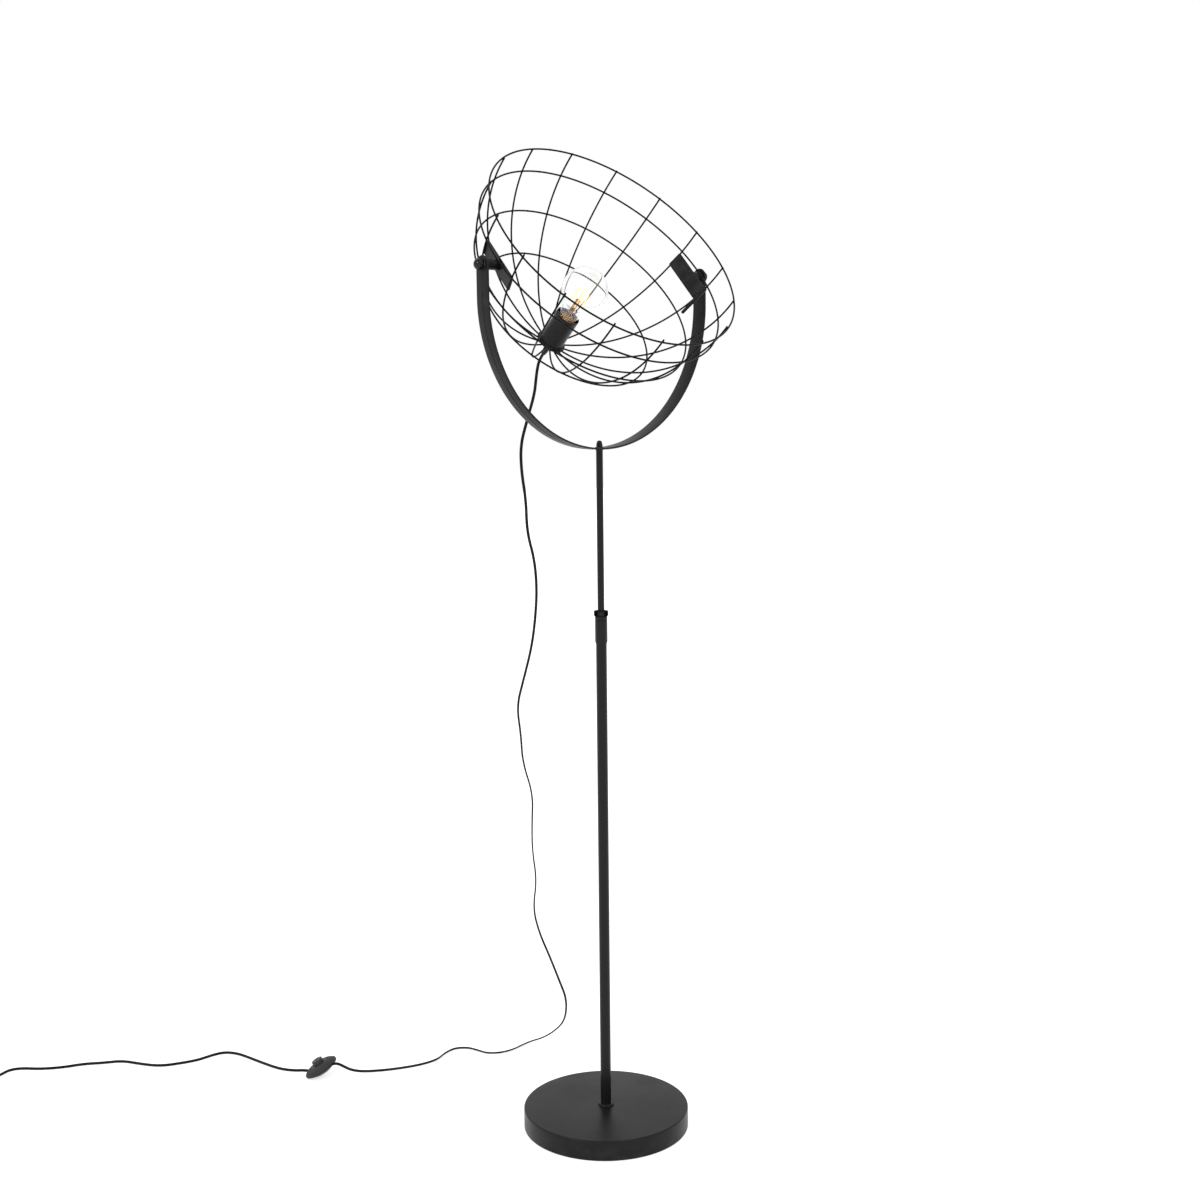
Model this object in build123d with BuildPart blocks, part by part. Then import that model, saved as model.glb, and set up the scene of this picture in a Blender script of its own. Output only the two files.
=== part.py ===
from build123d import *
from math import acos, atan2, cos, degrees, pi, radians, sin, sqrt, tan
import os

# Wire cage floor lamp. Millimetres, +Z up, origin at the centre of the base's underside.
# The shade's tilt axis lies along X, and the shade opens upwards and towards -Y.

os.makedirs("parts", exist_ok=True)

# ---- Driving dimensions -------------------------------------------------------------------

# Fits
slip = 0.05  # radial gap round a tube or pin that slides or turns
face_gap = 0.1  # between flat faces that turn on each other
gap = 0.3  # between pieces that only pass each other
weld_sink = 0.2  # how far two welded wires melt into each other

# Base
base_d = 250.0
base_h = 31.0
cover_t = 1.5
cover_lift = 1.2  # the cover's edge stays this far off the floor
cover_edge_r = 2.0
pad_t = 2.0
pad_inset = 2.5
base_bolt_d = 8.0
base_bolt_head_d = 13.0
base_bolt_head_h = 5.0
base_washer_d = 24.0
base_washer_t = 1.6
bolt_recess_h = 9.0
bolt_grip_h = 24.0  # how far the bolt goes up into the foot plug

# Pole
lower_tube_d = 16.0
upper_tube_d = 10.0
tube_wall = 1.0
foot_plug_h = 32.0
ferrule_d = 24.0
ferrule_h = 3.2
collar_bottom = 743.0
collar_h = 41.0
collar_d = 18.4
collar_cone_h = 3.5
collar_shoulder_t = 3.0
neck_d = 15.0
neck_h = 5.4
collet_wall = 1.0
collet_slot_w = 1.2
clamp_ring_d = 21.0
clamp_ring_h = 7.6
clamp_ring_lip_t = 1.8
clamp_groove_count = 24
clamp_groove_d = 1.4
bush_h = 38.0
guide_h = 40.0
slide_up = 230.0  # travel of the upper tube until its guide meets the bush
stud_plug_h = 30.0

# Yoke
pivot_height = 1282.0
arm_room = 14.5  # from the upright wires' curve out to the middle of the yoke's strip
yoke_straight = 42.5
strip_w = 24.0
strip_t = 2.5
swivel_stud_d = 5.0
swivel_washer_d = 12.0
swivel_washer_t = 0.8
cap_nut_flats = 8.4
cap_nut_hex_h = 4.5
cap_nut_dome_d = 8.0
cap_nut_h = 9.5

# Shade, measured from the tilt axis along the shade's own axis
tilt = 46.7  # how far the shade's axis leans from upright
wire_d = 2.6
cage_r = 196.0
rim_above_pivot = 51.0
upper_ring_angle = 11.0  # below the rim, seen from the middle of the rim
middle_ring_angle = 28.6
lower_ring_angle = 46.6
meridian_count = 16
wire_overshoot = 3.0
wire_foot_r = 15.0
hub_d = 45.0
hub_t = 2.5

# Tilt pivots
plate_t = 2.0
plate_w = 75.0
plate_h = 24.0
plate_drop = 2.2  # from the upper ring's centre line to the plate's top edge
plate_corner_r = 2.0
boss_d = 14.0
friction_washer_t = 1.0
knob_washer_t = 0.8
knob_d = 15.0
knob_h = 11.0
knob_dome_r = 8.5
knob_groove_count = 18
knob_groove_d = 1.2
knob_stud_d = 6.0
knob_stud_reach = 17.0  # how far the stud screws into the boss
rod_d = 5.0
rod_above_plate = 1.5
rod_below_plate = 28.0

# Lamp holder and bulb
holder_d = 36.6
holder_h = 52.0
holder_wall = 1.6
holder_floor_t = 2.4
holder_flange_d = 39.0
holder_flange_h = 1.8
insert_below_mouth = 7.0
insert_gap = 0.2
screw_shell_t = 0.5
screw_shell_h = 22.0
contact_d = 9.0
contact_t = 1.0
nipple_d = 10.0
nipple_bore = 7.0
nipple_above_floor = 5.0
nipple_below_nut = 3.0
lock_nut_flats = 14.0
lock_nut_h = 3.5
grip_d = 11.0
grip_tip_d = 7.4
grip_h = 20.9
bulb_d = 68.0
bulb_neck_d = 30.0
bulb_glass_t = 0.8
bulb_length = 88.0  # of the glass, from its top to the cap
bulb_waist_r = 40.0
cap_d = 26.3
cap_t = 0.5
cap_h = 21.0
cap_cone_h = 4.0
cap_contact_d = 9.0
cap_contact_t = 1.6
stem_d = 7.0
stem_h = 34.0
filament_d = 1.4
filament_count = 4
filament_h = 24.0
filament_ring_r = 9.0
support_wire_d = 0.6

# Cord
cord_d = 4.6
cord_pinch = 0.05  # how far a clamped hole squeezes the cord, all round

# Foot switch
switch_centre = Vector(-217.0, 452.9, 14.9)
switch_heading = 137.2  # the switch leans this way, by switch_lean from flat
switch_lean = 29.0
switch_turn = -30.0  # from that heading to the cord's line through the switch
switch_d = 56.0
switch_rim_t = 1.5
switch_foot_d = 36.0
switch_top_h = 8.5
switch_top_d = 26.0
switch_wall = 1.8
button_d = 18.4
button_gap = 0.4
button_rise = 7.0
button_flange_w = 1.6
button_flange_t = 1.6
button_travel = 3.0
button_edge_r = 1.5
switch_block_w = 20.0
switch_block_d = 13.0
spring_wire_d = 0.8
spring_d = 10.0
spring_turns = 3.0
switch_dome_r = 24.0
switch_screw_d = 2.5
switch_screw_head_d = 4.6
screw_head_h = 1.0
switch_screw_r = 14.5
switch_post_d = 5.0

# Coil of the spare length, and the plug on it
coil_centre = (-650.0, 862.0)
coil_d = 50.0
coil_w = 14.0
coil_h = 9.6
plug_tail = Vector(-676.0, 879.0, 6.8)
plug_heading = 92.0
plug_nose_d = 7.0
plug_nose_h = 9.0
plug_body_h = 30.0
plug_back_w = 15.0
plug_w = 26.0
plug_t = 13.6
plug_grip_h = 14.0
plug_corner_r = 3.0
plug_edge_r = 2.5
pin_d = 4.0
pin_length = 19.0
pin_pitch = 18.6

# The cord's route, from the lamp holder down to the floor, on to the switch and to the coil.
# Where two stretches meet, they share their end point.
cord_upper_route = [
    (0.0, 119.72, 1169.18),
    (0.2, 130.6, 1158.9),
    (0.6, 136.2, 1145.0),
    (1.2, 140.3, 1129.0),
    (2.9, 146.0, 1108.1),
    (0.5, 160.5, 1070.5),
    (-1.05, 167.35, 1050.8),
]
cord_middle_route = [
    (-1.05, 167.35, 1050.8),
    (-2.6, 174.2, 1031.1),
    (1.9, 178.3, 989.6),
    (10.3, 178.6, 946.2),
    (14.8, 182.7, 896.3),
    (26.2, 178.9, 852.1),
    (28.9, 179.8, 828.3),
]
cord_drop_route = [
    (28.9, 179.8, 828.3),
    (31.6, 180.7, 804.5),
    (32.3, 186.9, 756.5),
    (30.8, 195.1, 711.4),
    (24.8, 208.9, 659.3),
    (19.7, 220.4, 616.6),
    (27.9, 221.0, 568.3),
    (33.0, 224.4, 522.9),
    (49.3, 218.9, 468.4),
    (52.1, 225.8, 420.2),
    (57.0, 232.2, 371.3),
    (68.4, 235.2, 317.7),
    (69.8, 247.6, 267.1),
    (83.7, 249.7, 222.3),
    (104.5, 246.8, 174.7),
    (125.0, 246.9, 127.6),
    (143.2, 249.1, 88.8),
    (151.5, 264.0, 46.0),
    (146.0, 286.0, 22.0),
    (136.0, 306.0, 7.0),
    (118.0, 318.0, 2.4),
    (96.0, 315.5, 2.4),
    (76.0, 312.0, 2.4),
    (52.0, 315.5, 2.4),
    (33.5, 330.0, 2.4),
    (30.0, 350.0, 2.4),
    (25.5, 371.0, 2.4),
    (7.5, 386.0, 2.4),
    (-17.0, 381.5, 2.4),
    (-43.6, 368.0, 2.4),
    (-77.5, 371.0, 2.4),
    (-116.9, 386.6, 2.4),
    (-147.0, 404.5, 2.4),
    (-165.5, 417.0, 3.6),
    (-180.7, 419.0, 10.0),
    (-192.9, 415.7, 18.5),
    (-203.1, 413.6, 26.5),
    (-209.3, 421.5, 29.8),
    (-212.5, 434.4, 23.7),
]
cord_tail_route = [
    (-222.0, 473.2, 5.2),
    (-223.4, 479.2, 2.4),
    (-228.5, 488.5, 2.4),
    (-240.0, 497.5, 2.4),
    (-254.0, 520.0, 2.4),
    (-262.0, 563.3, 2.4),
    (-266.9, 600.0, 2.4),
    (-272.0, 627.0, 2.4),
    (-285.0, 646.0, 2.4),
    (-306.0, 650.0, 2.4),
    (-332.0, 648.0, 2.4),
    (-362.0, 657.0, 2.4),
    (-391.7, 670.8, 2.4),
    (-410.2, 699.6, 2.4),
    (-427.0, 734.8, 2.4),
    (-454.2, 749.2, 2.4),
    (-479.2, 767.9, 2.4),
    (-512.5, 780.0, 2.4),
    (-541.7, 799.9, 2.4),
    (-562.0, 824.0, 2.4),
    (-580.0, 832.0, 2.4),
    (-599.0, 823.0, 2.4),
    (-619.0, 817.0, 2.4),
    (-636.0, 824.0, 2.4),
    (-648.0, 831.5, 2.4),
]

# ---- Values worked out from them ----------------------------------------------------------

lower_bore = lower_tube_d - 2 * tube_wall
upper_bore = upper_tube_d - 2 * tube_wall
collar_top = collar_bottom + collar_h
lower_tube_top = collar_top - collar_shoulder_t
bush_bottom = lower_tube_top - bush_h
guide_top = bush_bottom - slide_up
guide_bottom = guide_top - guide_h
yoke_r = cage_r + arm_room
yoke_arc_z = pivot_height - yoke_straight
strip_bottom = yoke_arc_z - yoke_r - strip_t / 2
strip_top = strip_bottom + strip_t
upper_tube_top = strip_bottom - face_gap - swivel_washer_t
arm_inner = yoke_r - strip_t / 2
arm_outer = yoke_r + strip_t / 2

shade = Plane(
    origin=(0, 0, pivot_height),
    x_dir=(1, 0, 0),
    z_dir=(0, -sin(radians(tilt)), cos(radians(tilt))),
)
shade_axis = Axis(shade.origin, shade.z_dir)
rim_centre = shade.origin + shade.z_dir * rim_above_pivot
half_sector = radians(180.0 / meridian_count)
ring_r = cage_r + wire_d - weld_sink
hub_sag = cage_r - sqrt(cage_r**2 - (hub_d / 2) ** 2)
hub_bottom = rim_above_pivot - cage_r + hub_sag + wire_d / 2 - weld_sink
hub_top = hub_bottom + hub_t
mouth = hub_top + holder_h

boss_end = arm_inner - gap - friction_washer_t
knob_face = arm_outer + gap + knob_washer_t + face_gap


def side_plane(angle):
    """The plane through the shade's axis at this angle round it: x outwards, y along the axis."""
    outwards = shade.x_dir * cos(radians(angle)) + shade.y_dir * sin(radians(angle))
    return Plane(shade.origin, x_dir=outwards, z_dir=outwards.cross(shade.z_dir))


def wire_u(height):
    """How far along X the wires beside a pivot stand at this height along the shade's axis."""
    return cos(half_sector) * sqrt(cage_r**2 - (rim_above_pivot - height) ** 2)


def finish(piece, name):
    """Labels a finished piece and writes its file."""
    piece.part.label = name
    export_step(piece.part, f"parts/{name}.step")


# ---- Base ---------------------------------------------------------------------------------

cover_inner_d = base_d - 2 * cover_t
weight_top = base_h - cover_t
bolt_seat = pad_t + bolt_recess_h

with BuildPart() as base_cover:
    with BuildSketch(Plane.XY.offset(cover_lift)):
        Circle(base_d / 2)
    extrude(amount=base_h - cover_lift)
    fillet(base_cover.edges().group_by(Axis.Z)[-1], cover_edge_r)
    with BuildSketch(Plane.XY.offset(cover_lift)):
        Circle(cover_inner_d / 2)
    extrude(amount=weight_top - cover_lift, mode=Mode.SUBTRACT)
    with BuildSketch(Plane.XY.offset(weight_top)):
        Circle(base_bolt_d / 2 + slip)
    extrude(amount=cover_t, mode=Mode.SUBTRACT)
finish(base_cover, "base_cover")

with BuildPart() as base_weight:
    with BuildSketch(Plane.XY.offset(pad_t)):
        Circle(cover_inner_d / 2 - slip)
        Circle(base_bolt_d / 2 + slip, mode=Mode.SUBTRACT)
    extrude(amount=weight_top - pad_t)
    with BuildSketch(Plane.XY.offset(pad_t)):
        Circle(base_washer_d / 2 + gap)
    extrude(amount=bolt_recess_h, mode=Mode.SUBTRACT)
finish(base_weight, "base_weight")

with BuildPart() as base_pad:
    with BuildSketch(Plane.XY):
        Circle(cover_inner_d / 2 - pad_inset)
    extrude(amount=pad_t)
finish(base_pad, "base_pad")

with BuildPart() as base_washer:
    with BuildSketch(Plane.XY.offset(bolt_seat - base_washer_t)):
        Circle(base_washer_d / 2)
        Circle(base_bolt_d / 2 + slip, mode=Mode.SUBTRACT)
    extrude(amount=base_washer_t)
finish(base_washer, "base_washer")

bolt_head_top = bolt_seat - base_washer_t
with BuildPart() as base_bolt:
    with BuildSketch(Plane.XY.offset(bolt_head_top - base_bolt_head_h)):
        RegularPolygon(base_bolt_head_d / 2, 6, major_radius=False)
    extrude(amount=base_bolt_head_h)
    with BuildSketch(Plane.XY.offset(bolt_head_top)):
        Circle(base_bolt_d / 2)
    extrude(amount=base_h + bolt_grip_h - bolt_head_top)
    chamfer(base_bolt.edges().group_by(Axis.Z)[-1], 1.0)
finish(base_bolt, "base_bolt")

# ---- Pole ---------------------------------------------------------------------------------

with BuildPart() as foot_plug:
    with BuildSketch(Plane.XY.offset(base_h)):
        Circle(lower_bore / 2 - slip)
        Circle(base_bolt_d / 2 + slip, mode=Mode.SUBTRACT)
    extrude(amount=foot_plug_h)
    chamfer(foot_plug.edges().group_by(Axis.Z)[-1].sort_by(SortBy.RADIUS)[-1], 1.0)
finish(foot_plug, "foot_plug")

with BuildPart() as foot_ferrule:
    with BuildSketch(Plane.XY.offset(base_h)):
        Circle(ferrule_d / 2)
        Circle(lower_tube_d / 2 + slip, mode=Mode.SUBTRACT)
    extrude(amount=ferrule_h)
    fillet(foot_ferrule.edges().group_by(Axis.Z)[-1].sort_by(SortBy.RADIUS)[-1], ferrule_h * 0.6)
finish(foot_ferrule, "foot_ferrule")

with BuildPart() as lower_tube:
    with BuildSketch(Plane.XY.offset(base_h)):
        Circle(lower_tube_d / 2)
        Circle(lower_bore / 2, mode=Mode.SUBTRACT)
    extrude(amount=lower_tube_top - base_h)
finish(lower_tube, "lower_tube")

with BuildPart() as collar_bush:
    with BuildSketch(Plane.XY.offset(bush_bottom)):
        Circle(lower_bore / 2 - slip)
        Circle(upper_tube_d / 2 + slip, mode=Mode.SUBTRACT)
    extrude(amount=bush_h)
finish(collar_bush, "collar_bush")

# The collar slips over the tube's end, and its neck holds the collet that grips the upper tube.
collet_r = upper_tube_d / 2 + slip + collet_wall
with BuildPart() as collar:
    with BuildSketch(Plane.XY.offset(collar_bottom)):
        Circle(collar_d / 2)
    extrude(amount=collar_h)
    chamfer(collar.edges().group_by(Axis.Z)[0], collar_cone_h, (collar_d - lower_tube_d) / 2 - slip - 0.2)
    with BuildSketch(Plane.XY.offset(collar_top)):
        Circle(neck_d / 2)
    extrude(amount=neck_h)
    with BuildSketch(Plane.XY.offset(collar_bottom)):
        Circle(lower_tube_d / 2 + slip)
    extrude(amount=collar_h - collar_shoulder_t, mode=Mode.SUBTRACT)
    with BuildSketch(Plane.XY.offset(lower_tube_top)):
        Circle(collet_r + slip)
    extrude(amount=collar_shoulder_t + neck_h, mode=Mode.SUBTRACT)
finish(collar, "collar")

with BuildPart() as collet:
    with BuildSketch(Plane.XY.offset(lower_tube_top)):
        Circle(collet_r)
        Circle(upper_tube_d / 2 + slip, mode=Mode.SUBTRACT)
    extrude(amount=collar_shoulder_t + neck_h)
    with BuildSketch(Plane.XY.offset(lower_tube_top + collar_shoulder_t)):
        with PolarLocations(collet_r - collet_wall / 2, 4):
            Rectangle(2 * collet_wall, collet_slot_w)
    extrude(amount=neck_h, mode=Mode.SUBTRACT)
finish(collet, "collet")

with BuildPart() as clamp_ring:
    with BuildSketch(Plane.XY.offset(collar_top + gap)):
        Circle(clamp_ring_d / 2)
        with PolarLocations(clamp_ring_d / 2, clamp_groove_count):
            Circle(clamp_groove_d / 2, mode=Mode.SUBTRACT)
    extrude(amount=clamp_ring_h)
    with BuildSketch(Plane.XY.offset(collar_top + gap)):
        Circle(neck_d / 2 + slip)
    extrude(amount=clamp_ring_h - clamp_ring_lip_t, mode=Mode.SUBTRACT)
    with BuildSketch(Plane.XY.offset(collar_top + gap)):
        Circle(upper_tube_d / 2 + gap)
    extrude(amount=clamp_ring_h, mode=Mode.SUBTRACT)
finish(clamp_ring, "clamp_ring")

with BuildPart() as upper_tube:
    with BuildSketch(Plane.XY.offset(guide_bottom)):
        Circle(upper_tube_d / 2)
        Circle(upper_bore / 2, mode=Mode.SUBTRACT)
    extrude(amount=upper_tube_top - guide_bottom)
finish(upper_tube, "upper_tube")

with BuildPart() as tube_guide:
    with BuildSketch(Plane.XY.offset(guide_bottom)):
        Circle(lower_bore / 2 - slip)
        Circle(upper_tube_d / 2 + slip, mode=Mode.SUBTRACT)
    extrude(amount=guide_h)
    chamfer(tube_guide.edges().group_by(Axis.Z)[0].sort_by(SortBy.RADIUS)[-1], (lower_bore - upper_tube_d) / 4)
finish(tube_guide, "tube_guide")

# ---- Swivel on top of the pole ------------------------------------------------------------

stud_top = strip_top + face_gap + swivel_washer_t + cap_nut_hex_h
with BuildPart() as swivel_stud:
    with BuildSketch(Plane.XY.offset(upper_tube_top - stud_plug_h)):
        Circle(upper_bore / 2 - slip)
    extrude(amount=stud_plug_h)
    with BuildSketch(Plane.XY.offset(upper_tube_top)):
        Circle(swivel_stud_d / 2)
    extrude(amount=stud_top - upper_tube_top)
finish(swivel_stud, "swivel_stud")

with BuildPart() as swivel_washers:
    for bottom in (upper_tube_top, strip_top + face_gap):
        with BuildSketch(Plane.XY.offset(bottom)):
            Circle(swivel_washer_d / 2)
            Circle(swivel_stud_d / 2 + slip, mode=Mode.SUBTRACT)
        extrude(amount=swivel_washer_t)
finish(swivel_washers, "swivel_washers")

nut_bottom = strip_top + face_gap + swivel_washer_t
with BuildPart() as cap_nut:
    with BuildSketch(Plane.XY.offset(nut_bottom)):
        RegularPolygon(cap_nut_flats / 2, 6, major_radius=False)
    extrude(amount=cap_nut_hex_h)
    with BuildSketch(Plane.XY.offset(nut_bottom + cap_nut_hex_h)):
        Circle(cap_nut_dome_d / 2)
    extrude(amount=cap_nut_h - cap_nut_hex_h)
    fillet(cap_nut.edges().group_by(Axis.Z)[-1], cap_nut_dome_d / 2 - 0.4)
    with BuildSketch(Plane.XY.offset(nut_bottom)):
        Circle(swivel_stud_d / 2 + slip)
    extrude(amount=cap_nut_hex_h + gap, mode=Mode.SUBTRACT)
finish(cap_nut, "cap_nut")

# ---- Yoke ---------------------------------------------------------------------------------

arm_top = pivot_height + strip_w / 2
with BuildPart() as yoke_strip:
    with BuildSketch(Plane.XZ):
        with Locations((0, yoke_arc_z)):
            Circle(arm_outer)
            Circle(arm_inner, mode=Mode.SUBTRACT)
        with Locations((0, yoke_arc_z + arm_outer / 2)):
            Rectangle(2 * arm_outer, arm_outer, mode=Mode.SUBTRACT)
        with Locations((-yoke_r, (yoke_arc_z + arm_top) / 2), (yoke_r, (yoke_arc_z + arm_top) / 2)):
            Rectangle(strip_t, arm_top - yoke_arc_z)
    extrude(amount=strip_w / 2, both=True)
    arm_corners = yoke_strip.edges().filter_by(Axis.X).group_by(Axis.Z)[-1]
    fillet(arm_corners, strip_w / 2 - 0.01)
    with BuildSketch(Plane.YZ.offset(-yoke_r - strip_t)):
        with Locations((0, pivot_height)):
            Circle(knob_stud_d / 2 + slip)
    extrude(amount=2 * (yoke_r + strip_t), mode=Mode.SUBTRACT)
    with BuildSketch(Plane.XY.offset(strip_bottom - strip_t)):
        Circle(swivel_stud_d / 2 + slip)
    extrude(amount=3 * strip_t, mode=Mode.SUBTRACT)
finish(yoke_strip, "yoke_strip")

# ---- Wire cage ----------------------------------------------------------------------------


def wire_ring(angle):
    """A ring outside the upright wires, this many degrees below the rim."""
    with BuildPart() as ring:
        with BuildSketch(side_plane(0)):
            with Locations((ring_r * cos(radians(angle)), rim_above_pivot - ring_r * sin(radians(angle)))):
                Circle(wire_d / 2)
        revolve(axis=shade_axis)
    return ring


finish(wire_ring(0), "rim_ring")
finish(wire_ring(upper_ring_angle), "upper_ring")
finish(wire_ring(middle_ring_angle), "middle_ring")
finish(wire_ring(lower_ring_angle), "lower_ring")

# Sixteen upright wires run from just past the rim down to the hub.
overshoot_angle = wire_overshoot / cage_r
wire_arc = degrees(overshoot_angle + acos(wire_foot_r / cage_r))
with BuildPart() as meridian_wires:
    for index in range(meridian_count):
        side = side_plane((index + 0.5) * 360.0 / meridian_count)
        tip = side.x_dir * cos(overshoot_angle) + shade.z_dir * sin(overshoot_angle)
        with BuildSketch(Plane(rim_centre, x_dir=tip, z_dir=tip.cross(side.z_dir))):
            with Locations((cage_r, 0)):
                Circle(wire_d / 2)
        revolve(axis=Axis(rim_centre, -side.z_dir), revolution_arc=wire_arc)
finish(meridian_wires, "meridian_wires")

with BuildPart() as hub_plate:
    with BuildSketch(shade.offset(hub_bottom)):
        Circle(hub_d / 2)
        Circle(nipple_d / 2 + slip, mode=Mode.SUBTRACT)
    extrude(amount=hub_t)
finish(hub_plate, "hub_plate")

# ---- Tilt pivots --------------------------------------------------------------------------
# Each plate is welded against the inner sides of the two wires beside a pivot, so it leans
# with them. A boss on it takes the stud of the knob, through the hole in the yoke's arm.

plate_top = rim_above_pivot - ring_r * sin(radians(upper_ring_angle)) - plate_drop
plate_lean = atan2(wire_u(plate_top) - wire_u(plate_top - plate_h), plate_h)
plate_out = shade.x_dir * cos(plate_lean) - shade.z_dir * sin(plate_lean)
plate_corner = shade.x_dir * wire_u(plate_top) + shade.z_dir * plate_top
plate_face = Plane(
    shade.origin + plate_corner - plate_out * (wire_d / 2 - weld_sink),
    x_dir=shade.y_dir,
    z_dir=plate_out,
)

with BuildPart() as right_plate:
    with BuildSketch(plate_face):
        with Locations((0, -plate_h / 2)):
            RectangleRounded(plate_w, plate_h, plate_corner_r)
    extrude(amount=-plate_t)
finish(right_plate, "right_plate")

with BuildPart() as left_plate:
    mirror(right_plate.part, about=Plane.YZ)
finish(left_plate, "left_plate")

pivot_plane = Plane(shade.origin, x_dir=shade.y_dir, z_dir=shade.x_dir)
with BuildPart() as right_boss:
    with BuildSketch(pivot_plane.offset(boss_end)):
        Circle(boss_d / 2)
    extrude(amount=-boss_end / 4)
    split(bisect_by=plate_face, keep=Keep.TOP)
    with BuildSketch(pivot_plane.offset(boss_end)):
        Circle(knob_stud_d / 2 + slip)
    extrude(amount=-knob_stud_reach, mode=Mode.SUBTRACT)
finish(right_boss, "right_boss")

with BuildPart() as left_boss:
    mirror(right_boss.part, about=Plane.YZ)
finish(left_boss, "left_boss")


def washer_pair(inner_face, thickness):
    """Two washers on the tilt axis, one at each arm, their inner faces this far out."""
    with BuildPart() as washers:
        for plane in (pivot_plane.offset(inner_face), pivot_plane.offset(-inner_face - thickness)):
            with BuildSketch(plane):
                Circle(boss_d / 2)
                Circle(knob_stud_d / 2 + slip, mode=Mode.SUBTRACT)
            extrude(amount=thickness)
    return washers


finish(washer_pair(boss_end, friction_washer_t), "friction_washers")
finish(washer_pair(arm_outer + gap, knob_washer_t), "knob_washers")

knob_side = Plane(shade.origin, x_dir=shade.x_dir, z_dir=shade.z_dir)
with BuildPart() as right_knob:
    with BuildSketch(pivot_plane.offset(knob_face)):
        Circle(knob_d / 2)
        with PolarLocations(knob_d / 2, knob_groove_count):
            Circle(knob_groove_d / 2, mode=Mode.SUBTRACT)
    extrude(amount=knob_h)
    with BuildSketch(knob_side):
        with BuildLine():
            dome_edge = (knob_face + knob_h - (knob_dome_r - sqrt(knob_dome_r**2 - knob_d**2 / 4)), knob_d / 2)
            RadiusArc((knob_face + knob_h, 0), dome_edge, -knob_dome_r)
            Polyline(
                dome_edge,
                (dome_edge[0], knob_d),
                (knob_face + knob_h + 1, knob_d),
                (knob_face + knob_h + 1, 0),
                (knob_face + knob_h, 0),
            )
        make_face()
    revolve(axis=Axis(shade.origin, shade.x_dir), mode=Mode.SUBTRACT)
    with BuildSketch(pivot_plane.offset(knob_face)):
        Circle(knob_stud_d / 2)
    extrude(amount=-(knob_face - boss_end + knob_stud_reach - 1.0))
finish(right_knob, "right_knob")

with BuildPart() as left_knob:
    mirror(right_knob.part, about=Plane.YZ)
finish(left_knob, "left_knob")

# The rod is welded along the front edge of the right plate and ends well below it.
rod_start = plate_face.from_local_coords((-plate_w / 2 - rod_d / 2 + weld_sink, rod_above_plate, -plate_t / 2))
with BuildPart() as plate_rod:
    with BuildSketch(Plane(rod_start, x_dir=shade.y_dir, z_dir=-plate_face.y_dir)):
        Circle(rod_d / 2)
    extrude(amount=rod_above_plate + plate_h + rod_below_plate)
    fillet(plate_rod.edges(), rod_d / 2 - 0.05)
finish(plate_rod, "plate_rod")

# ---- Lamp holder --------------------------------------------------------------------------

nut_top = hub_bottom
nut_low = nut_top - lock_nut_h
holder_inner_d = holder_d - 2 * holder_wall
holder_floor = hub_top + holder_floor_t
insert_top = mouth - insert_below_mouth
nipple_top = holder_floor + nipple_above_floor
nipple_low = nut_low - nipple_below_nut

with BuildPart() as holder_shell:
    with BuildSketch(shade.offset(hub_top)):
        Circle(holder_d / 2)
    extrude(amount=holder_h)
    with BuildSketch(shade.offset(hub_top)):
        Circle(holder_flange_d / 2)
    extrude(amount=holder_flange_h)
    with BuildSketch(shade.offset(holder_floor)):
        Circle(holder_inner_d / 2)
    extrude(amount=holder_h - holder_floor_t, mode=Mode.SUBTRACT)
    with BuildSketch(shade.offset(hub_top)):
        Circle(nipple_d / 2 + slip)
    extrude(amount=holder_floor_t, mode=Mode.SUBTRACT)
finish(holder_shell, "holder_shell")

shell_bottom = insert_top - screw_shell_h
shell_outer_r = cap_d / 2 + slip + screw_shell_t
contact_bottom = shell_bottom - contact_t
with BuildPart() as holder_insert:
    with BuildSketch(shade.offset(nipple_top + gap)):
        Circle(holder_inner_d / 2 - insert_gap)
        with Locations((0, holder_inner_d / 2 - 4.0), (0, 4.0 - holder_inner_d / 2)):
            SlotCenterToCenter(4.0, 2.2, mode=Mode.SUBTRACT)
    extrude(amount=insert_top - nipple_top - gap)
    with BuildSketch(shade.offset(shell_bottom)):
        Circle(shell_outer_r + slip)
    extrude(amount=screw_shell_h, mode=Mode.SUBTRACT)
    with BuildSketch(shade.offset(contact_bottom)):
        Circle(contact_d / 2 + slip)
    extrude(amount=contact_t, mode=Mode.SUBTRACT)
finish(holder_insert, "holder_insert")

with BuildPart() as screw_shell:
    with BuildSketch(shade.offset(shell_bottom)):
        Circle(shell_outer_r)
        Circle(shell_outer_r - screw_shell_t, mode=Mode.SUBTRACT)
    extrude(amount=screw_shell_h)
finish(screw_shell, "screw_shell")

with BuildPart() as centre_contact:
    with BuildSketch(shade.offset(contact_bottom)):
        Circle(contact_d / 2)
    extrude(amount=contact_t)
finish(centre_contact, "centre_contact")

with BuildPart() as nipple:
    with BuildSketch(shade.offset(nipple_low)):
        Circle(nipple_d / 2)
        Circle(nipple_bore / 2, mode=Mode.SUBTRACT)
    extrude(amount=nipple_top - nipple_low)
finish(nipple, "nipple")

with BuildPart() as lock_nuts:
    for bottom in (nut_low, holder_floor):
        with BuildSketch(shade.offset(bottom)):
            RegularPolygon(lock_nut_flats / 2, 6, major_radius=False)
            Circle(nipple_d / 2 + slip, mode=Mode.SUBTRACT)
        extrude(amount=lock_nut_h)
finish(lock_nuts, "lock_nuts")

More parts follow.
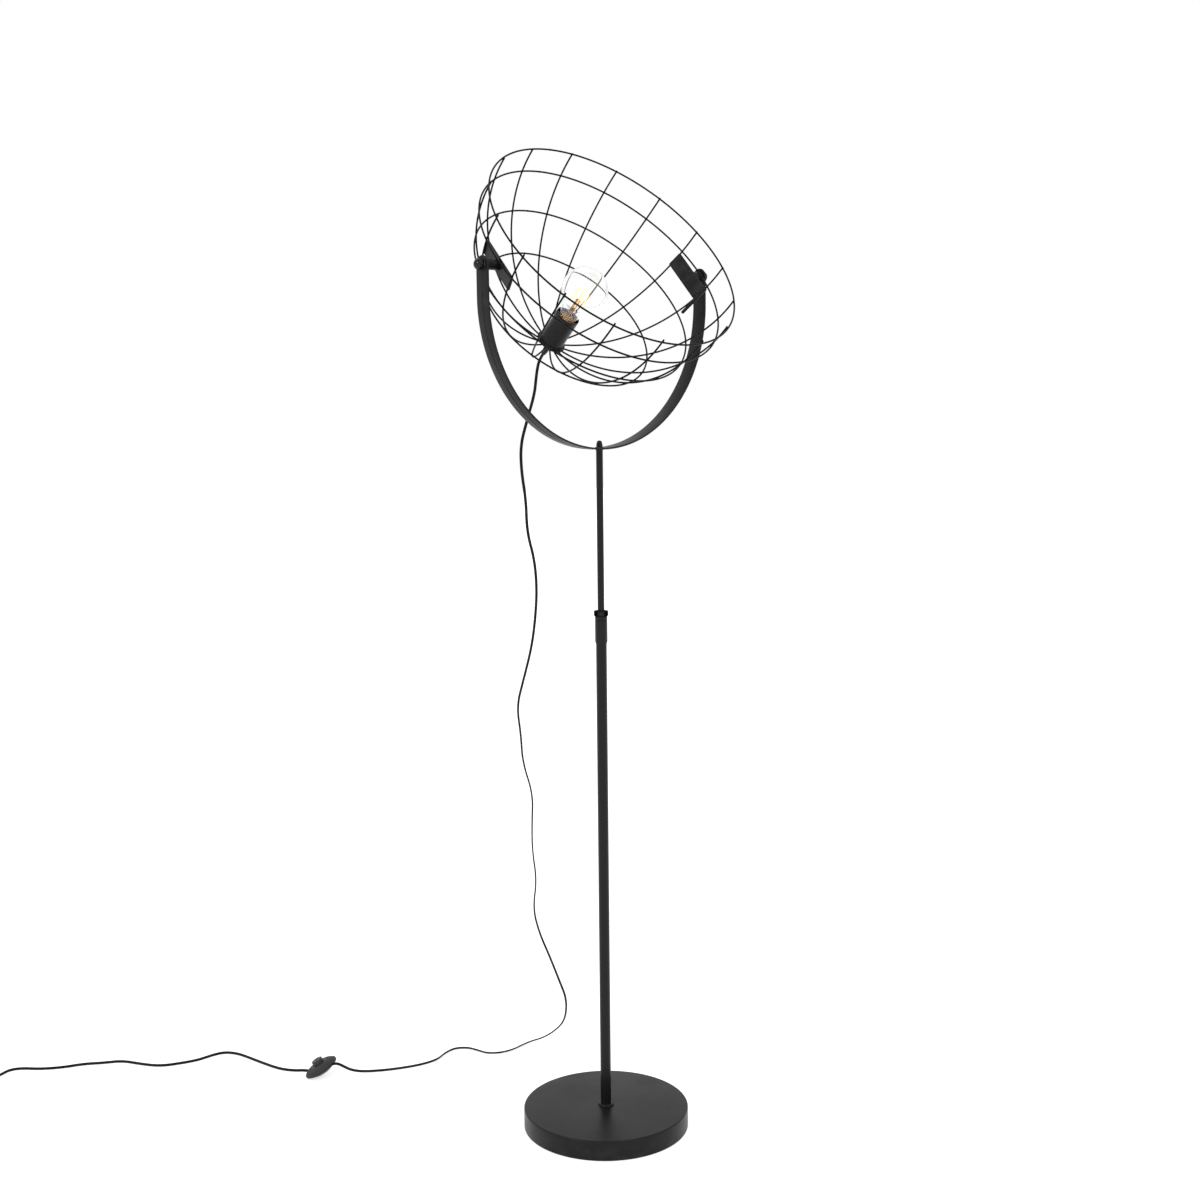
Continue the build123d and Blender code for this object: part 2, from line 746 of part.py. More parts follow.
# The cord grip screws onto the nipple's lower end and tapers towards the cord.
with BuildPart() as cord_grip:
    with BuildSketch(side_plane(0)):
        with BuildLine():
            Polyline(
                (nipple_d / 2 + slip, nut_low),
                (nipple_d / 2 + slip + 1.4, nut_low),
                (grip_d / 2, nipple_low),
                (grip_tip_d / 2, nut_low - grip_h + 1.0),
                (grip_tip_d / 2 - 1.0, nut_low - grip_h),
                (cord_d / 2 - cord_pinch, nut_low - grip_h),
                (cord_d / 2 - cord_pinch, nipple_low - 1.0),
                (nipple_d / 2 + slip, nipple_low - 1.0),
                close=True,
            )
        make_face()
    revolve(axis=shade_axis)
finish(cord_grip, "cord_grip")

# ---- Bulb ---------------------------------------------------------------------------------

cap_bottom = shell_bottom + face_gap
cap_low = cap_bottom + cap_cone_h
neck_low = cap_low + cap_h
globe_centre = neck_low + bulb_length - bulb_d / 2


def bulb_outline(inset):
    """Half the glass's outline, moved in by this much: the globe, the waist and the neck."""
    globe_r = bulb_d / 2 - inset
    waist_r = bulb_waist_r + inset
    neck_r = bulb_neck_d / 2 - inset
    waist_x = bulb_neck_d / 2 + bulb_waist_r
    reach = bulb_d / 2 + bulb_waist_r
    waist_y = globe_centre - sqrt(reach**2 - waist_x**2)
    joint = (waist_x * globe_r / reach, globe_centre + (waist_y - globe_centre) * globe_r / reach)
    shoulder = (neck_r, waist_y)
    globe_turn = 90.0 + degrees(atan2(globe_centre - joint[1], joint[0]))
    waist_turn = degrees(atan2(joint[1] - waist_y, waist_x - joint[0]))
    CenterArc((0, globe_centre), globe_r, 90, -globe_turn)
    CenterArc((waist_x, waist_y), waist_r, 180 - waist_turn, waist_turn)
    Polyline(shoulder, (neck_r, neck_low), (0, neck_low))
    Line((0, neck_low), (0, globe_centre + globe_r))


with BuildPart() as bulb_glass:
    with BuildSketch(side_plane(0)) as glass_profile:
        with BuildLine():
            bulb_outline(0)
        make_face()
        with BuildLine():
            bulb_outline(bulb_glass_t)
        make_face(mode=Mode.SUBTRACT)
    revolve(axis=shade_axis)
finish(bulb_glass, "bulb_glass")

cap_cone_r = cap_contact_d / 2 + slip
with BuildPart() as bulb_cap:
    with BuildSketch(side_plane(0)):
        with BuildLine():
            Polyline(
                (cap_d / 2, neck_low),
                (cap_d / 2, cap_low),
                (cap_cone_r + cap_t, cap_bottom),
                (cap_cone_r, cap_bottom),
                (cap_d / 2 - cap_t, cap_low),
                (cap_d / 2 - cap_t, neck_low),
                close=True,
            )
        make_face()
    revolve(axis=shade_axis)
finish(bulb_cap, "bulb_cap")

with BuildPart() as bulb_contact:
    with BuildSketch(shade.offset(cap_bottom)):
        Circle(cap_contact_d / 2)
    extrude(amount=cap_contact_t)
finish(bulb_contact, "bulb_contact")

# The glass stem flares out to the neck. Its top carries the filaments on short wires, and a
# ring of wire joins their upper ends.
stem_foot_d = bulb_neck_d - 2 * bulb_glass_t
stem_top = neck_low + stem_h
with BuildPart() as bulb_stem:
    with BuildSketch(side_plane(0)):
        with BuildLine():
            flare_end = (stem_d / 2, neck_low + stem_foot_d / 2)
            RadiusArc((stem_foot_d / 2, neck_low), flare_end, stem_foot_d / 2)
            Polyline(
                flare_end,
                (stem_d / 2, stem_top),
                (0, stem_top),
                (0, neck_low),
                (stem_foot_d / 2, neck_low),
            )
        make_face()
    revolve(axis=shade_axis)
finish(bulb_stem, "bulb_stem")

filament_bottom = stem_top - filament_h / 3
with BuildPart() as filaments:
    with BuildSketch(shade.offset(filament_bottom)):
        with PolarLocations(filament_ring_r, filament_count, start_angle=180.0 / filament_count):
            Circle(filament_d / 2)
    extrude(amount=filament_h)
    for index in range(filament_count):
        outwards = side_plane((index + 0.5) * 360.0 / filament_count)
        with BuildSketch(Plane(outwards.from_local_coords((stem_d / 2, stem_top - 1.0, 0)), z_dir=outwards.x_dir)):
            Circle(support_wire_d / 2)
        extrude(amount=filament_ring_r - stem_d / 2)
    with BuildSketch(side_plane(0)):
        with Locations((filament_ring_r, filament_bottom + filament_h)):
            Circle(support_wire_d / 2)
    revolve(axis=shade_axis)
finish(filaments, "filaments")

# ---- Cord ---------------------------------------------------------------------------------


def cord_tube(route, name):
    """A round tube along straight runs joined by arcs as large as the runs allow."""
    points = [Vector(*point) for point in route]
    runs = [end - start for start, end in zip(points, points[1:])]
    radii = []
    for before, after in zip(runs, runs[1:]):
        half_turn = radians(before.get_angle(after)) / 2
        radii.append(0.45 * min(before.length, after.length) / tan(half_turn))
    with BuildPart() as tube:
        with BuildLine(Plane.XY) as path:
            FilletPolyline(*points, radius=radii)
        with BuildSketch(Plane(points[0], z_dir=runs[0])):
            Circle(cord_d / 2)
        sweep(path=path.wire())
    expected = path.wire().length * pi * cord_d**2 / 4
    print(
        name,
        "length", round(path.wire().length, 1),
        "smallest radius", round(min(radii), 1),
        "longest run", round(max(run.length for run in runs), 1),
        "volume ratio", round(tube.part.volume / expected, 4),
    )
    print("   radii", [round(radius) for radius in radii])
    return tube


finish(cord_tube(cord_upper_route, "cord_upper"), "cord_upper")
finish(cord_tube(cord_middle_route, "cord_middle"), "cord_middle")
finish(cord_tube(cord_drop_route, "cord_drop"), "cord_drop")
finish(cord_tube(cord_tail_route, "cord_tail"), "cord_tail")

coil_plane = Plane((coil_centre[0], coil_centre[1], 0), x_dir=(1, 0, 0), z_dir=(0, -1, 0))
with BuildPart() as cord_coil:
    with BuildSketch(coil_plane):
        with Locations((coil_d / 2, coil_h / 2)):
            RectangleRounded(coil_w, coil_h, coil_h / 2 - 0.8)
    revolve(axis=Axis(coil_plane.origin, (0, 0, 1)))
finish(cord_coil, "cord_coil")

# ---- Foot switch --------------------------------------------------------------------------

lean_way = Vector(cos(radians(switch_heading)), sin(radians(switch_heading)), 0)
switch_up = lean_way * sin(radians(switch_lean)) + Vector(0, 0, cos(radians(switch_lean)))
downhill = lean_way * cos(radians(switch_lean)) - Vector(0, 0, sin(radians(switch_lean)))
across = switch_up.cross(downhill)
cord_line = downhill * cos(radians(switch_turn)) + across * sin(radians(switch_turn))
switch = Plane(switch_centre, x_dir=cord_line, z_dir=switch_up)
switch_side = Plane(switch_centre, x_dir=cord_line, z_dir=cord_line.cross(switch_up))
switch_axis = Axis(switch_centre, switch_up)

# The flank below the rim slopes as much as the switch leans, so the switch rests on it.
foot_h = switch_rim_t + (switch_d - switch_foot_d) / 2 * tan(radians(switch_lean))
switch_floor = -foot_h + switch_wall
rim_inner = switch_d / 2 - switch_wall


def cord_holes():
    """Cuts the holes for the cord at both ends of its line through the switch."""
    with BuildSketch(Plane(switch_centre, x_dir=switch_up, z_dir=cord_line)) as hole:
        Circle(cord_d / 2 - cord_pinch)
    extrude(hole.sketch, amount=switch_d, both=True, mode=Mode.SUBTRACT)


def at_screws(low, high, diameter, mode):
    """Adds or cuts a round post or hole at both screws, between these heights."""
    with BuildSketch(switch.offset(low)) as spots:
        with Locations((0, switch_screw_r), (0, -switch_screw_r)):
            Circle(diameter / 2)
    extrude(spots.sketch, amount=high - low, mode=mode)


with BuildPart() as switch_base:
    with BuildSketch(switch_side):
        with BuildLine():
            Polyline(
                (0, -foot_h),
                (switch_foot_d / 2, -foot_h),
                (switch_d / 2, -switch_rim_t),
                (switch_d / 2, 0),
                (rim_inner, 0),
                (rim_inner, -switch_rim_t / 2),
                (switch_foot_d / 2, switch_floor),
                (0, switch_floor),
                close=True,
            )
        make_face()
    revolve(axis=switch_axis)
    at_screws(-foot_h, -foot_h + screw_head_h + 0.1, switch_screw_head_d + 0.4, Mode.SUBTRACT)
    at_screws(-foot_h, switch_floor, switch_screw_d + 0.2, Mode.SUBTRACT)
    cord_holes()
finish(switch_base, "switch_base")

hole_r = button_d / 2 + button_gap
ceiling = switch_top_h - switch_wall
with BuildPart() as switch_cover:
    with BuildSketch(switch_side):
        with BuildLine():
            Line((switch_d / 2, 0), (switch_d / 2, switch_rim_t))
            RadiusArc((switch_d / 2, switch_rim_t), (switch_top_d / 2, switch_top_h), -switch_dome_r)
            Polyline(
                (switch_top_d / 2, switch_top_h),
                (hole_r, switch_top_h),
                (hole_r, ceiling),
                (switch_top_d / 2 - switch_wall / 4, ceiling),
            )
            RadiusArc(
                (switch_top_d / 2 - switch_wall / 4, ceiling),
                (rim_inner, switch_rim_t / 2),
                switch_dome_r - switch_wall,
            )
            Polyline((rim_inner, switch_rim_t / 2), (rim_inner, 0), (switch_d / 2, 0))
        make_face()
    revolve(axis=switch_axis)
    at_screws(switch_floor + 0.1, ceiling + 0.2, switch_post_d, Mode.ADD)
    at_screws(switch_floor, ceiling - 1.5, switch_screw_d + 0.1, Mode.SUBTRACT)
    cord_holes()
finish(switch_cover, "switch_cover")

flange_top = ceiling - face_gap
flange_low = flange_top - button_flange_t
button_top = switch_top_h + button_rise
with BuildPart() as switch_button:
    with BuildSketch(switch.offset(flange_low)):
        Circle(button_d / 2)
    extrude(amount=button_top - flange_low)
    fillet(switch_button.edges().sort_by(Axis(switch_centre, switch_up))[-1], button_edge_r)
    with BuildSketch(switch.offset(flange_low)):
        Circle(button_d / 2 + button_flange_w)
    extrude(amount=button_flange_t)
    with BuildSketch(switch.offset(flange_low)):
        Circle(button_d / 2 - switch_wall)
    extrude(amount=button_top - flange_low - 2 * switch_wall, mode=Mode.SUBTRACT)
    with BuildSketch(switch.offset(flange_low)):
        Circle(spring_d / 2 - spring_wire_d - gap)
    extrude(amount=button_top - flange_low - switch_wall)
finish(switch_button, "switch_button")

# The contact block stops the button at the end of its travel.
block_top = flange_low - button_travel - gap
with BuildPart() as switch_contacts:
    with BuildSketch(switch.offset(switch_floor)):
        RectangleRounded(switch_block_w, switch_block_d, 1.5)
    extrude(amount=block_top - switch_floor)
finish(switch_contacts, "switch_contacts")

# The return spring stands on the contact block and pushes up inside the hollow button.
spring_low = block_top
spring_h = button_top - 2 * switch_wall - face_gap - spring_low
with BuildPart() as button_spring:
    with BuildLine(switch.offset(spring_low)) as coil_path:
        Helix(
            pitch=(spring_h - spring_wire_d) / spring_turns,
            height=spring_h - spring_wire_d,
            radius=(spring_d - spring_wire_d) / 2,
            center=(0, 0, spring_wire_d / 2),
            direction=switch_up,
        )
    with BuildSketch(coil_path.line ^ 0):
        Circle(spring_wire_d / 2)
    sweep(path=coil_path.line, is_frenet=True)
finish(button_spring, "button_spring")

with BuildPart() as switch_screws:
    at_screws(-foot_h + 0.1, -foot_h + screw_head_h, switch_screw_head_d, Mode.ADD)
    at_screws(-foot_h + screw_head_h, ceiling - 2.5, switch_screw_d, Mode.ADD)
finish(switch_screws, "switch_screws")

# ---- Plug ---------------------------------------------------------------------------------

heading = Vector(cos(radians(plug_heading)), sin(radians(plug_heading)), 0)
plug_flat = Plane(plug_tail, x_dir=heading, z_dir=(0, 0, 1))
plug_front = plug_nose_h + plug_body_h
with BuildPart() as plug_body:
    with BuildSketch(plug_flat.offset(-plug_t / 2)):
        with BuildLine():
            Polyline(
                (plug_nose_h, -plug_back_w / 2),
                (plug_front - plug_grip_h, -plug_w / 2),
                (plug_front, -plug_w / 2),
                (plug_front, plug_w / 2),
                (plug_front - plug_grip_h, plug_w / 2),
                (plug_nose_h, plug_back_w / 2),
                close=True,
            )
        make_face()
    extrude(amount=plug_t)
    fillet(plug_body.edges().filter_by(Axis.Z), plug_corner_r)
    fillet(plug_body.faces().filter_by(Axis.Z).edges(), plug_edge_r)
    with BuildSketch(Plane(plug_tail, z_dir=heading)):
        Circle(plug_nose_d / 2)
    with BuildSketch(Plane(plug_tail + heading * (plug_nose_h + plug_corner_r), z_dir=heading)):
        Circle(plug_nose_d / 2 + 1.5)
    loft()
finish(plug_body, "plug_body")

with BuildPart() as plug_pins:
    with BuildSketch(Plane(plug_tail + heading * plug_front, x_dir=(0, 0, 1), z_dir=heading)):
        with Locations((0, pin_pitch / 2), (0, -pin_pitch / 2)):
            Circle(pin_d / 2)
    extrude(amount=pin_length)
    fillet(plug_pins.edges().group_by(Axis(plug_tail, heading))[-1], pin_d / 2 - 0.2)
finish(plug_pins, "plug_pins")
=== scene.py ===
from math import acos, atan2, cos, pi, radians, sin, sqrt, tan

import bpy
from mathutils import Matrix, Vector


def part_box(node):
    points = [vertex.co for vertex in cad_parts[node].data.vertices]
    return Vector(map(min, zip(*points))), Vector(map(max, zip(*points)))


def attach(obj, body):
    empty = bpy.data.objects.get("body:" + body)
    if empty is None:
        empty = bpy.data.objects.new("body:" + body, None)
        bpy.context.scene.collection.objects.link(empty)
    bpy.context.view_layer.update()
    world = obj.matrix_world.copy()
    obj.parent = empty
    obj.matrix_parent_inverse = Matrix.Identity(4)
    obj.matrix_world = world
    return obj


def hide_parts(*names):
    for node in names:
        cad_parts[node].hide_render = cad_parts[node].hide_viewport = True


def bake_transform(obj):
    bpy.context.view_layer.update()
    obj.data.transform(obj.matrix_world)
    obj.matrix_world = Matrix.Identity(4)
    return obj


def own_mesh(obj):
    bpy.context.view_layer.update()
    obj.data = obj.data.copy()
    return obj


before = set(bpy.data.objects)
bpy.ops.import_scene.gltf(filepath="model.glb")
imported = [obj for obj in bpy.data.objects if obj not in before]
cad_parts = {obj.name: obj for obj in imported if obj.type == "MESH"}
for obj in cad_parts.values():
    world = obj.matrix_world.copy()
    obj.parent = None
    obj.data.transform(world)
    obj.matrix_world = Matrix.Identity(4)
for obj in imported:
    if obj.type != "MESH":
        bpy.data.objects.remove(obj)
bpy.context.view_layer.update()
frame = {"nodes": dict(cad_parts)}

# Wire cage floor lamp. Metres, +Z up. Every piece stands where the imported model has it.

# ---- Measures -----------------------------------------------------------------------------

MM = 0.001
POLE = 0.01 * MM  # a radius small enough to be merged into one point

BASE_R = 125.0 * MM
BASE_TOP = 31.0 * MM
BASE_LIFT = 1.2 * MM
BASE_WALL = 1.5 * MM
BASE_EDGE = 2.0 * MM
FERRULE_R = 12.0 * MM
FERRULE_H = 3.2 * MM

LOWER_TUBE_R = 8.0 * MM
UPPER_TUBE_R = 5.0 * MM
TUBE_WALL = 1.0 * MM
COLLAR_R = 9.2 * MM
COLLAR_CONE_H = 3.5 * MM
NECK_R = 7.5 * MM
CLAMP_R = 10.5 * MM
CLAMP_GROOVES = 24

PIVOT = Vector((0.0, 0.0, 1.282))
TILT = radians(46.7)
YOKE_R = 210.5 * MM
YOKE_STRAIGHT = 42.5 * MM
STRIP_W = 24.0 * MM
STRIP_T = 2.5 * MM

WIRE_R = 1.3 * MM
CAGE_R = 196.0 * MM
RING_R = 198.4 * MM
RIM = 51.0 * MM  # from the tilt axis to the rim's plane, along the shade's axis
RING_ANGLES = {"rim_ring": 0.0, "upper_ring": 11.0, "middle_ring": 28.6, "lower_ring": 46.6}
MERIDIANS = 16
WIRE_OVERSHOOT = 3.0 * MM
WIRE_FOOT_R = 15.0 * MM
HUB_R = 22.5 * MM
HUB_LOW = -142.6 * MM
HUB_TOP = -140.1 * MM

HOLDER_R = 18.3 * MM
HOLDER_WALL = 1.6 * MM
HOLDER_MOUTH = -88.1 * MM
HOLDER_LIP_R = 19.5 * MM
HOLDER_LIP_H = 1.8 * MM
HOLDER_FLOOR = HUB_TOP + 2.4 * MM
SHELL_R = 13.7 * MM
SHELL_T = 0.5 * MM
SHELL_TOP = -95.1 * MM
SHELL_LOW = -117.1 * MM
GRIP_TOP = -146.1 * MM
GRIP_SHOULDER = -149.1 * MM
GRIP_TIP = -167.0 * MM
GRIP_R = 6.45 * MM
GRIP_TIP_R = 3.7 * MM

BULB_R = 34.0 * MM
BULB_NECK_R = 15.0 * MM
BULB_WAIST_R = 40.0 * MM
BULB_WALL = 0.8 * MM
BULB_CENTRE = -38.0 * MM
NECK_LOW = -92.0 * MM
CAP_R = 13.15 * MM
CAP_H = 21.0 * MM
CAP_T = 0.5 * MM
THREAD_PITCH = 3.6 * MM
THREAD_DEPTH = 0.9 * MM

CORD_W = 4.6 * MM  # the flat twin flex, across both cores
CORD_T = 2.4 * MM

SWITCH_CENTRE = Vector((-217.0, 452.9, 14.9)) * MM
SWITCH_HEADING = radians(137.2)
SWITCH_LEAN = radians(29.0)
SWITCH_TURN = radians(-30.0)
SWITCH_R = 28.0 * MM
SWITCH_RIM = 1.5 * MM
SWITCH_FOOT_R = 18.0 * MM
SWITCH_FLANK = 29.0  # degrees, the slope of the bowl's flank
SWITCH_LOW = -SWITCH_RIM - (SWITCH_R - SWITCH_FOOT_R) * tan(radians(SWITCH_FLANK))
SWITCH_TOP = 8.5 * MM
SWITCH_LIP_R = 13.0 * MM
SWITCH_DOME_R = 24.0 * MM
SWITCH_WALL = 1.8 * MM
SWITCH_SEAM = 0.25 * MM
SWITCH_FOOT_EDGE = 1.5 * MM
SWITCH_RIBS = 60
RIB_DEPTH = 0.35 * MM
FACE_GAP = 0.1 * MM
LOOSE_GAP = 0.3 * MM
BUTTON_R = 9.2 * MM
BUTTON_GAP = 0.4 * MM
BUTTON_RISE = 7.0 * MM
BUTTON_EDGE = 1.5 * MM
BUTTON_FLANGE = 1.6 * MM  # how far it stands out, and how thick it is
BUTTON_FLANGE_LOW = SWITCH_TOP - SWITCH_WALL - FACE_GAP - BUTTON_FLANGE
BUTTON_TRAVEL = 3.0 * MM
SPRING_FOOT = BUTTON_FLANGE_LOW - BUTTON_TRAVEL - LOOSE_GAP
SPRING_TOP = SWITCH_TOP + BUTTON_RISE - 2 * SWITCH_WALL - FACE_GAP
SPRING_R = 5.0 * MM
SPRING_WIRE_R = 0.4 * MM
SPRING_TURNS = 3

COIL_CENTRE = Vector((-650.0, 862.0)) * MM
PLUG_TAIL = Vector((-676.0, 879.0, 6.8)) * MM
PLUG_HEADING = radians(92.0)

SHADE = Matrix.Translation(PIVOT) @ Matrix.Rotation(TILT, 4, "X")
SWITCH = (
    Matrix.Translation(SWITCH_CENTRE)
    @ Matrix.Rotation(SWITCH_HEADING, 4, "Z")
    @ Matrix.Rotation(SWITCH_LEAN, 4, "Y")
    @ Matrix.Rotation(SWITCH_TURN, 4, "Z")
)

# ---- Camera, lights and floor ---------------------------------------------------------------

CAMERA_PLACE = Vector((-1.6063, -1.7324, 1.1129))
CAMERA_LENS = 48.73
CAMERA_HEADING = radians(47.196)  # of its view, from +X
CAMERA_DOWN = radians(7.3625)
CAMERA_ROLL = radians(-0.5844)


def set_camera():
    camera = bpy.data.objects.new("camera", bpy.data.cameras.new("camera"))
    bpy.context.scene.collection.objects.link(camera)
    camera.data.lens = CAMERA_LENS
    camera.data.sensor_width = 36.0
    camera.data.sensor_fit = "HORIZONTAL"
    camera.data.clip_end = 50.0
    camera.matrix_world = (
        Matrix.Translation(CAMERA_PLACE)
        @ Matrix.Rotation(CAMERA_HEADING - pi / 2, 4, "Z")
        @ Matrix.Rotation(pi / 2 - CAMERA_DOWN, 4, "X")
        @ Matrix.Rotation(CAMERA_ROLL, 4, "Z")
    )
    bpy.context.scene.camera = camera


def add_sun(name, shines_to, softness, strength):
    """A far lamp, so that the floor is lit evenly out to its edge."""
    lamp = bpy.data.objects.new(name, bpy.data.lights.new(name, "SUN"))
    bpy.context.scene.collection.objects.link(lamp)
    lamp.data.angle = softness
    lamp.data.energy = strength
    lamp.rotation_euler = Vector(shines_to).to_track_quat("-Z", "Y").to_euler()


def seen_rays(nodes, links):
    """A value of 1 on rays from the camera, from gloss and through glass, and 0 on the rest."""
    path = nodes.new("ShaderNodeLightPath")
    glossy = nodes.new("ShaderNodeMath")
    glossy.operation = "MAXIMUM"
    links.new(path.outputs["Is Camera Ray"], glossy.inputs[0])
    links.new(path.outputs["Is Glossy Ray"], glossy.inputs[1])
    clear = nodes.new("ShaderNodeMath")
    clear.operation = "MAXIMUM"
    links.new(glossy.outputs[0], clear.inputs[0])
    links.new(path.outputs["Is Transmission Ray"], clear.inputs[1])
    return clear.outputs[0]


def set_world(lighting):
    """White where it is seen, and this strong as a light."""
    world = bpy.data.worlds.new("studio")
    bpy.context.scene.world = world
    world.use_nodes = True
    nodes, links = world.node_tree.nodes, world.node_tree.links
    strength = nodes.new("ShaderNodeMapRange")
    links.new(seen_rays(nodes, links), strength.inputs["Value"])
    strength.inputs["To Min"].default_value = lighting
    strength.inputs["To Max"].default_value = 1.0
    background = nodes["Background"]
    background.inputs["Color"].default_value = (1.0, 1.0, 1.0, 1.0)
    links.new(strength.outputs["Result"], background.inputs["Strength"])


def add_floor(lift):
    """A pale floor that keeps the lamp's shadow; the lift brings its lit parts up to white."""
    clear_selection()
    bpy.ops.mesh.primitive_plane_add(size=24.0, location=(0.0, 0.0, -0.2 * MM))
    floor = bpy.context.active_object
    floor.name = "floor"
    made = bpy.data.materials.new("floor")
    made.use_nodes = True
    nodes, links = made.node_tree.nodes, made.node_tree.links
    shader = nodes["Principled BSDF"]
    shader.inputs["Base Color"].default_value = (0.86, 0.86, 0.86, 1.0)
    shader.inputs["Roughness"].default_value = 1.0
    shader.inputs["Specular IOR Level"].default_value = 0.0
    shader.inputs["Emission Color"].default_value = (1.0, 1.0, 1.0, 1.0)
    strength = nodes.new("ShaderNodeMapRange")
    links.new(seen_rays(nodes, links), strength.inputs["Value"])
    strength.inputs["To Max"].default_value = lift
    links.new(strength.outputs["Result"], shader.inputs["Emission Strength"])
    floor.data.materials.append(made)


# ---- Modelling helpers ----------------------------------------------------------------------


def clear_selection():
    if bpy.context.object and bpy.context.object.mode != "OBJECT":
        bpy.ops.object.mode_set(mode="OBJECT")
    bpy.ops.object.select_all(action="DESELECT")


def take(piece):
    """Makes a piece the only one selected."""
    clear_selection()
    piece.select_set(True)
    bpy.context.view_layer.objects.active = piece
    return piece


def new_piece(name):
    """Names the primitive just added, with its place put into its mesh."""
    piece = bpy.context.active_object
    piece.name = name
    piece.data.name = name
    bpy.ops.object.transform_apply(location=True, rotation=True, scale=True)
    return piece


def put(piece, place):
    """Moves a finished piece to its place, and the place into its mesh."""
    take(piece)
    piece.matrix_world = place
    bpy.ops.object.transform_apply(location=True, rotation=True, scale=True)
    return piece


def close_up(piece, doubles=0.02 * MM):
    take(piece)
    bpy.ops.object.mode_set(mode="EDIT")
    bpy.ops.mesh.select_all(action="SELECT")
    bpy.ops.mesh.remove_doubles(threshold=doubles)
    bpy.ops.mesh.normals_make_consistent(inside=False)
    bpy.ops.object.mode_set(mode="OBJECT")


def apply_modifiers(piece):
    take(piece)
    for modifier in list(piece.modifiers):
        bpy.ops.object.modifier_apply(modifier=modifier.name)


def ease_edges(piece, width, segments=3, angle=35.0):
    bevel = piece.modifiers.new("eased", "BEVEL")
    bevel.width = width
    bevel.segments = segments
    bevel.limit_method = "ANGLE"
    bevel.angle_limit = radians(angle)
    bevel.harden_normals = False
    apply_modifiers(piece)


def smooth(piece, angle=35.0):
    take(piece)
    bpy.ops.object.shade_smooth_by_angle(angle=radians(angle))


def lathe(name, outline, steps=96, closed=True):
    """Turns an outline of (radius, height) points round the Z axis."""
    radius, height = outline[0]
    clear_selection()
    bpy.ops.mesh.primitive_circle_add(vertices=steps, radius=radius, location=(0.0, 0.0, height))
    piece = new_piece(name)
    bpy.ops.object.mode_set(mode="EDIT")
    bpy.ops.mesh.select_all(action="SELECT")
    for next_radius, next_height in outline[1:] + outline[:1] * closed:
        bpy.ops.mesh.extrude_edges_move(TRANSFORM_OT_translate={"value": (0.0, 0.0, next_height - height)})
        grow = next_radius / radius
        bpy.ops.transform.resize(value=(grow, grow, 1.0), center_override=(0.0, 0.0, 0.0))
        radius, height = next_radius, next_height
    bpy.ops.object.mode_set(mode="OBJECT")
    close_up(piece)
    return piece


def arc(centre, radius, start, end, steps):
    """Points on a circle in the outline's plane, from one angle to another, in degrees."""
    turns = [radians(start + (end - start) * step / steps) for step in range(steps + 1)]
    return [(centre[0] + radius * cos(turn), centre[1] + radius * sin(turn)) for turn in turns]


def select_faces(piece, test):
    """In object mode: selects the faces whose centre and normal pass the test."""
    for face in piece.data.polygons:
        face.select = test(face.center, face.normal)


def copies_round(piece, angles, axis_place):
    """Copies a piece round an axis, each copy with its own mesh, and joins them."""
    turned = []
    for angle in angles:
        copy = piece.copy()
        copy.data = piece.data.copy()
        bpy.context.scene.collection.objects.link(copy)
        copy.data.transform(axis_place @ Matrix.Rotation(angle, 4, "Z") @ axis_place.inverted())
        turned.append(copy)
    clear_selection()
    for copy in turned:
        copy.select_set(True)
    bpy.context.view_layer.objects.active = turned[0]
    bpy.ops.object.join()
    bpy.data.objects.remove(piece)
    return turned[0]


def join(name, pieces):
    clear_selection()
    for piece in pieces:
        piece.select_set(True)
    bpy.context.view_layer.objects.active = pieces[0]
    bpy.ops.object.join()
    pieces[0].name = name
    return pieces[0]


def finished(piece, body, material, replaced=(), angle=35.0):
    smooth(piece, angle)
    piece.data.materials.clear()
    piece.data.materials.append(material)
    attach(piece, body)
    if replaced:
        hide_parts(*replaced)
    return piece


# ---- Shader groups ----------------------------------------------------------------------------


def shader_group(name, inputs, outputs):
    group = bpy.data.node_groups.new(name, "ShaderNodeTree")
    for label, kind, value in inputs:
        socket = group.interface.new_socket(label, in_out="INPUT", socket_type="NodeSocket" + kind)
        if value is not None:
            socket.default_value = value
    for label, kind in outputs:
        group.interface.new_socket(label, in_out="OUTPUT", socket_type="NodeSocket" + kind)
    entry = group.nodes.new("NodeGroupInput")
    leave = group.nodes.new("NodeGroupOutput")
    return group, entry, leave


def noise_in(group, entry, scale_label, detail, factor=1.0):
    """A noise on the group's Vector, its scale the named input times the factor."""
    scale = group.nodes.new("ShaderNodeMath")
    scale.operation = "MULTIPLY"
    group.links.new(entry.outputs[scale_label], scale.inputs[0])
    scale.inputs[1].default_value = factor
    noise = group.nodes.new("ShaderNodeTexNoise")
    noise.inputs["Detail"].default_value = detail
    group.links.new(entry.outputs["Vector"], noise.inputs["Vector"])
    group.links.new(scale.outputs[0], noise.inputs["Scale"])
    return noise.outputs["Fac"]


def ranged(group, value, low, high, to_low=0.0, to_high=1.0):
    """The value spread from one range to another; the ends may be numbers or sockets."""
    spread = group.nodes.new("ShaderNodeMapRange")
    group.links.new(value, spread.inputs["Value"])
    for label, end in (("From Min", low), ("From Max", high), ("To Min", to_low), ("To Max", to_high)):
        if isinstance(end, (int, float)):
            spread.inputs[label].default_value = end
        else:
            group.links.new(end, spread.inputs[label])
    return spread.outputs["Result"]


def multiplied(group, first, second):
    node = group.nodes.new("ShaderNodeMath")
    node.operation = "MULTIPLY"
    group.links.new(first, node.inputs[0])
    if isinstance(second, (int, float)):
        node.inputs[1].default_value = second
    else:
        group.links.new(second, node.inputs[1])
    return node.outputs[0]


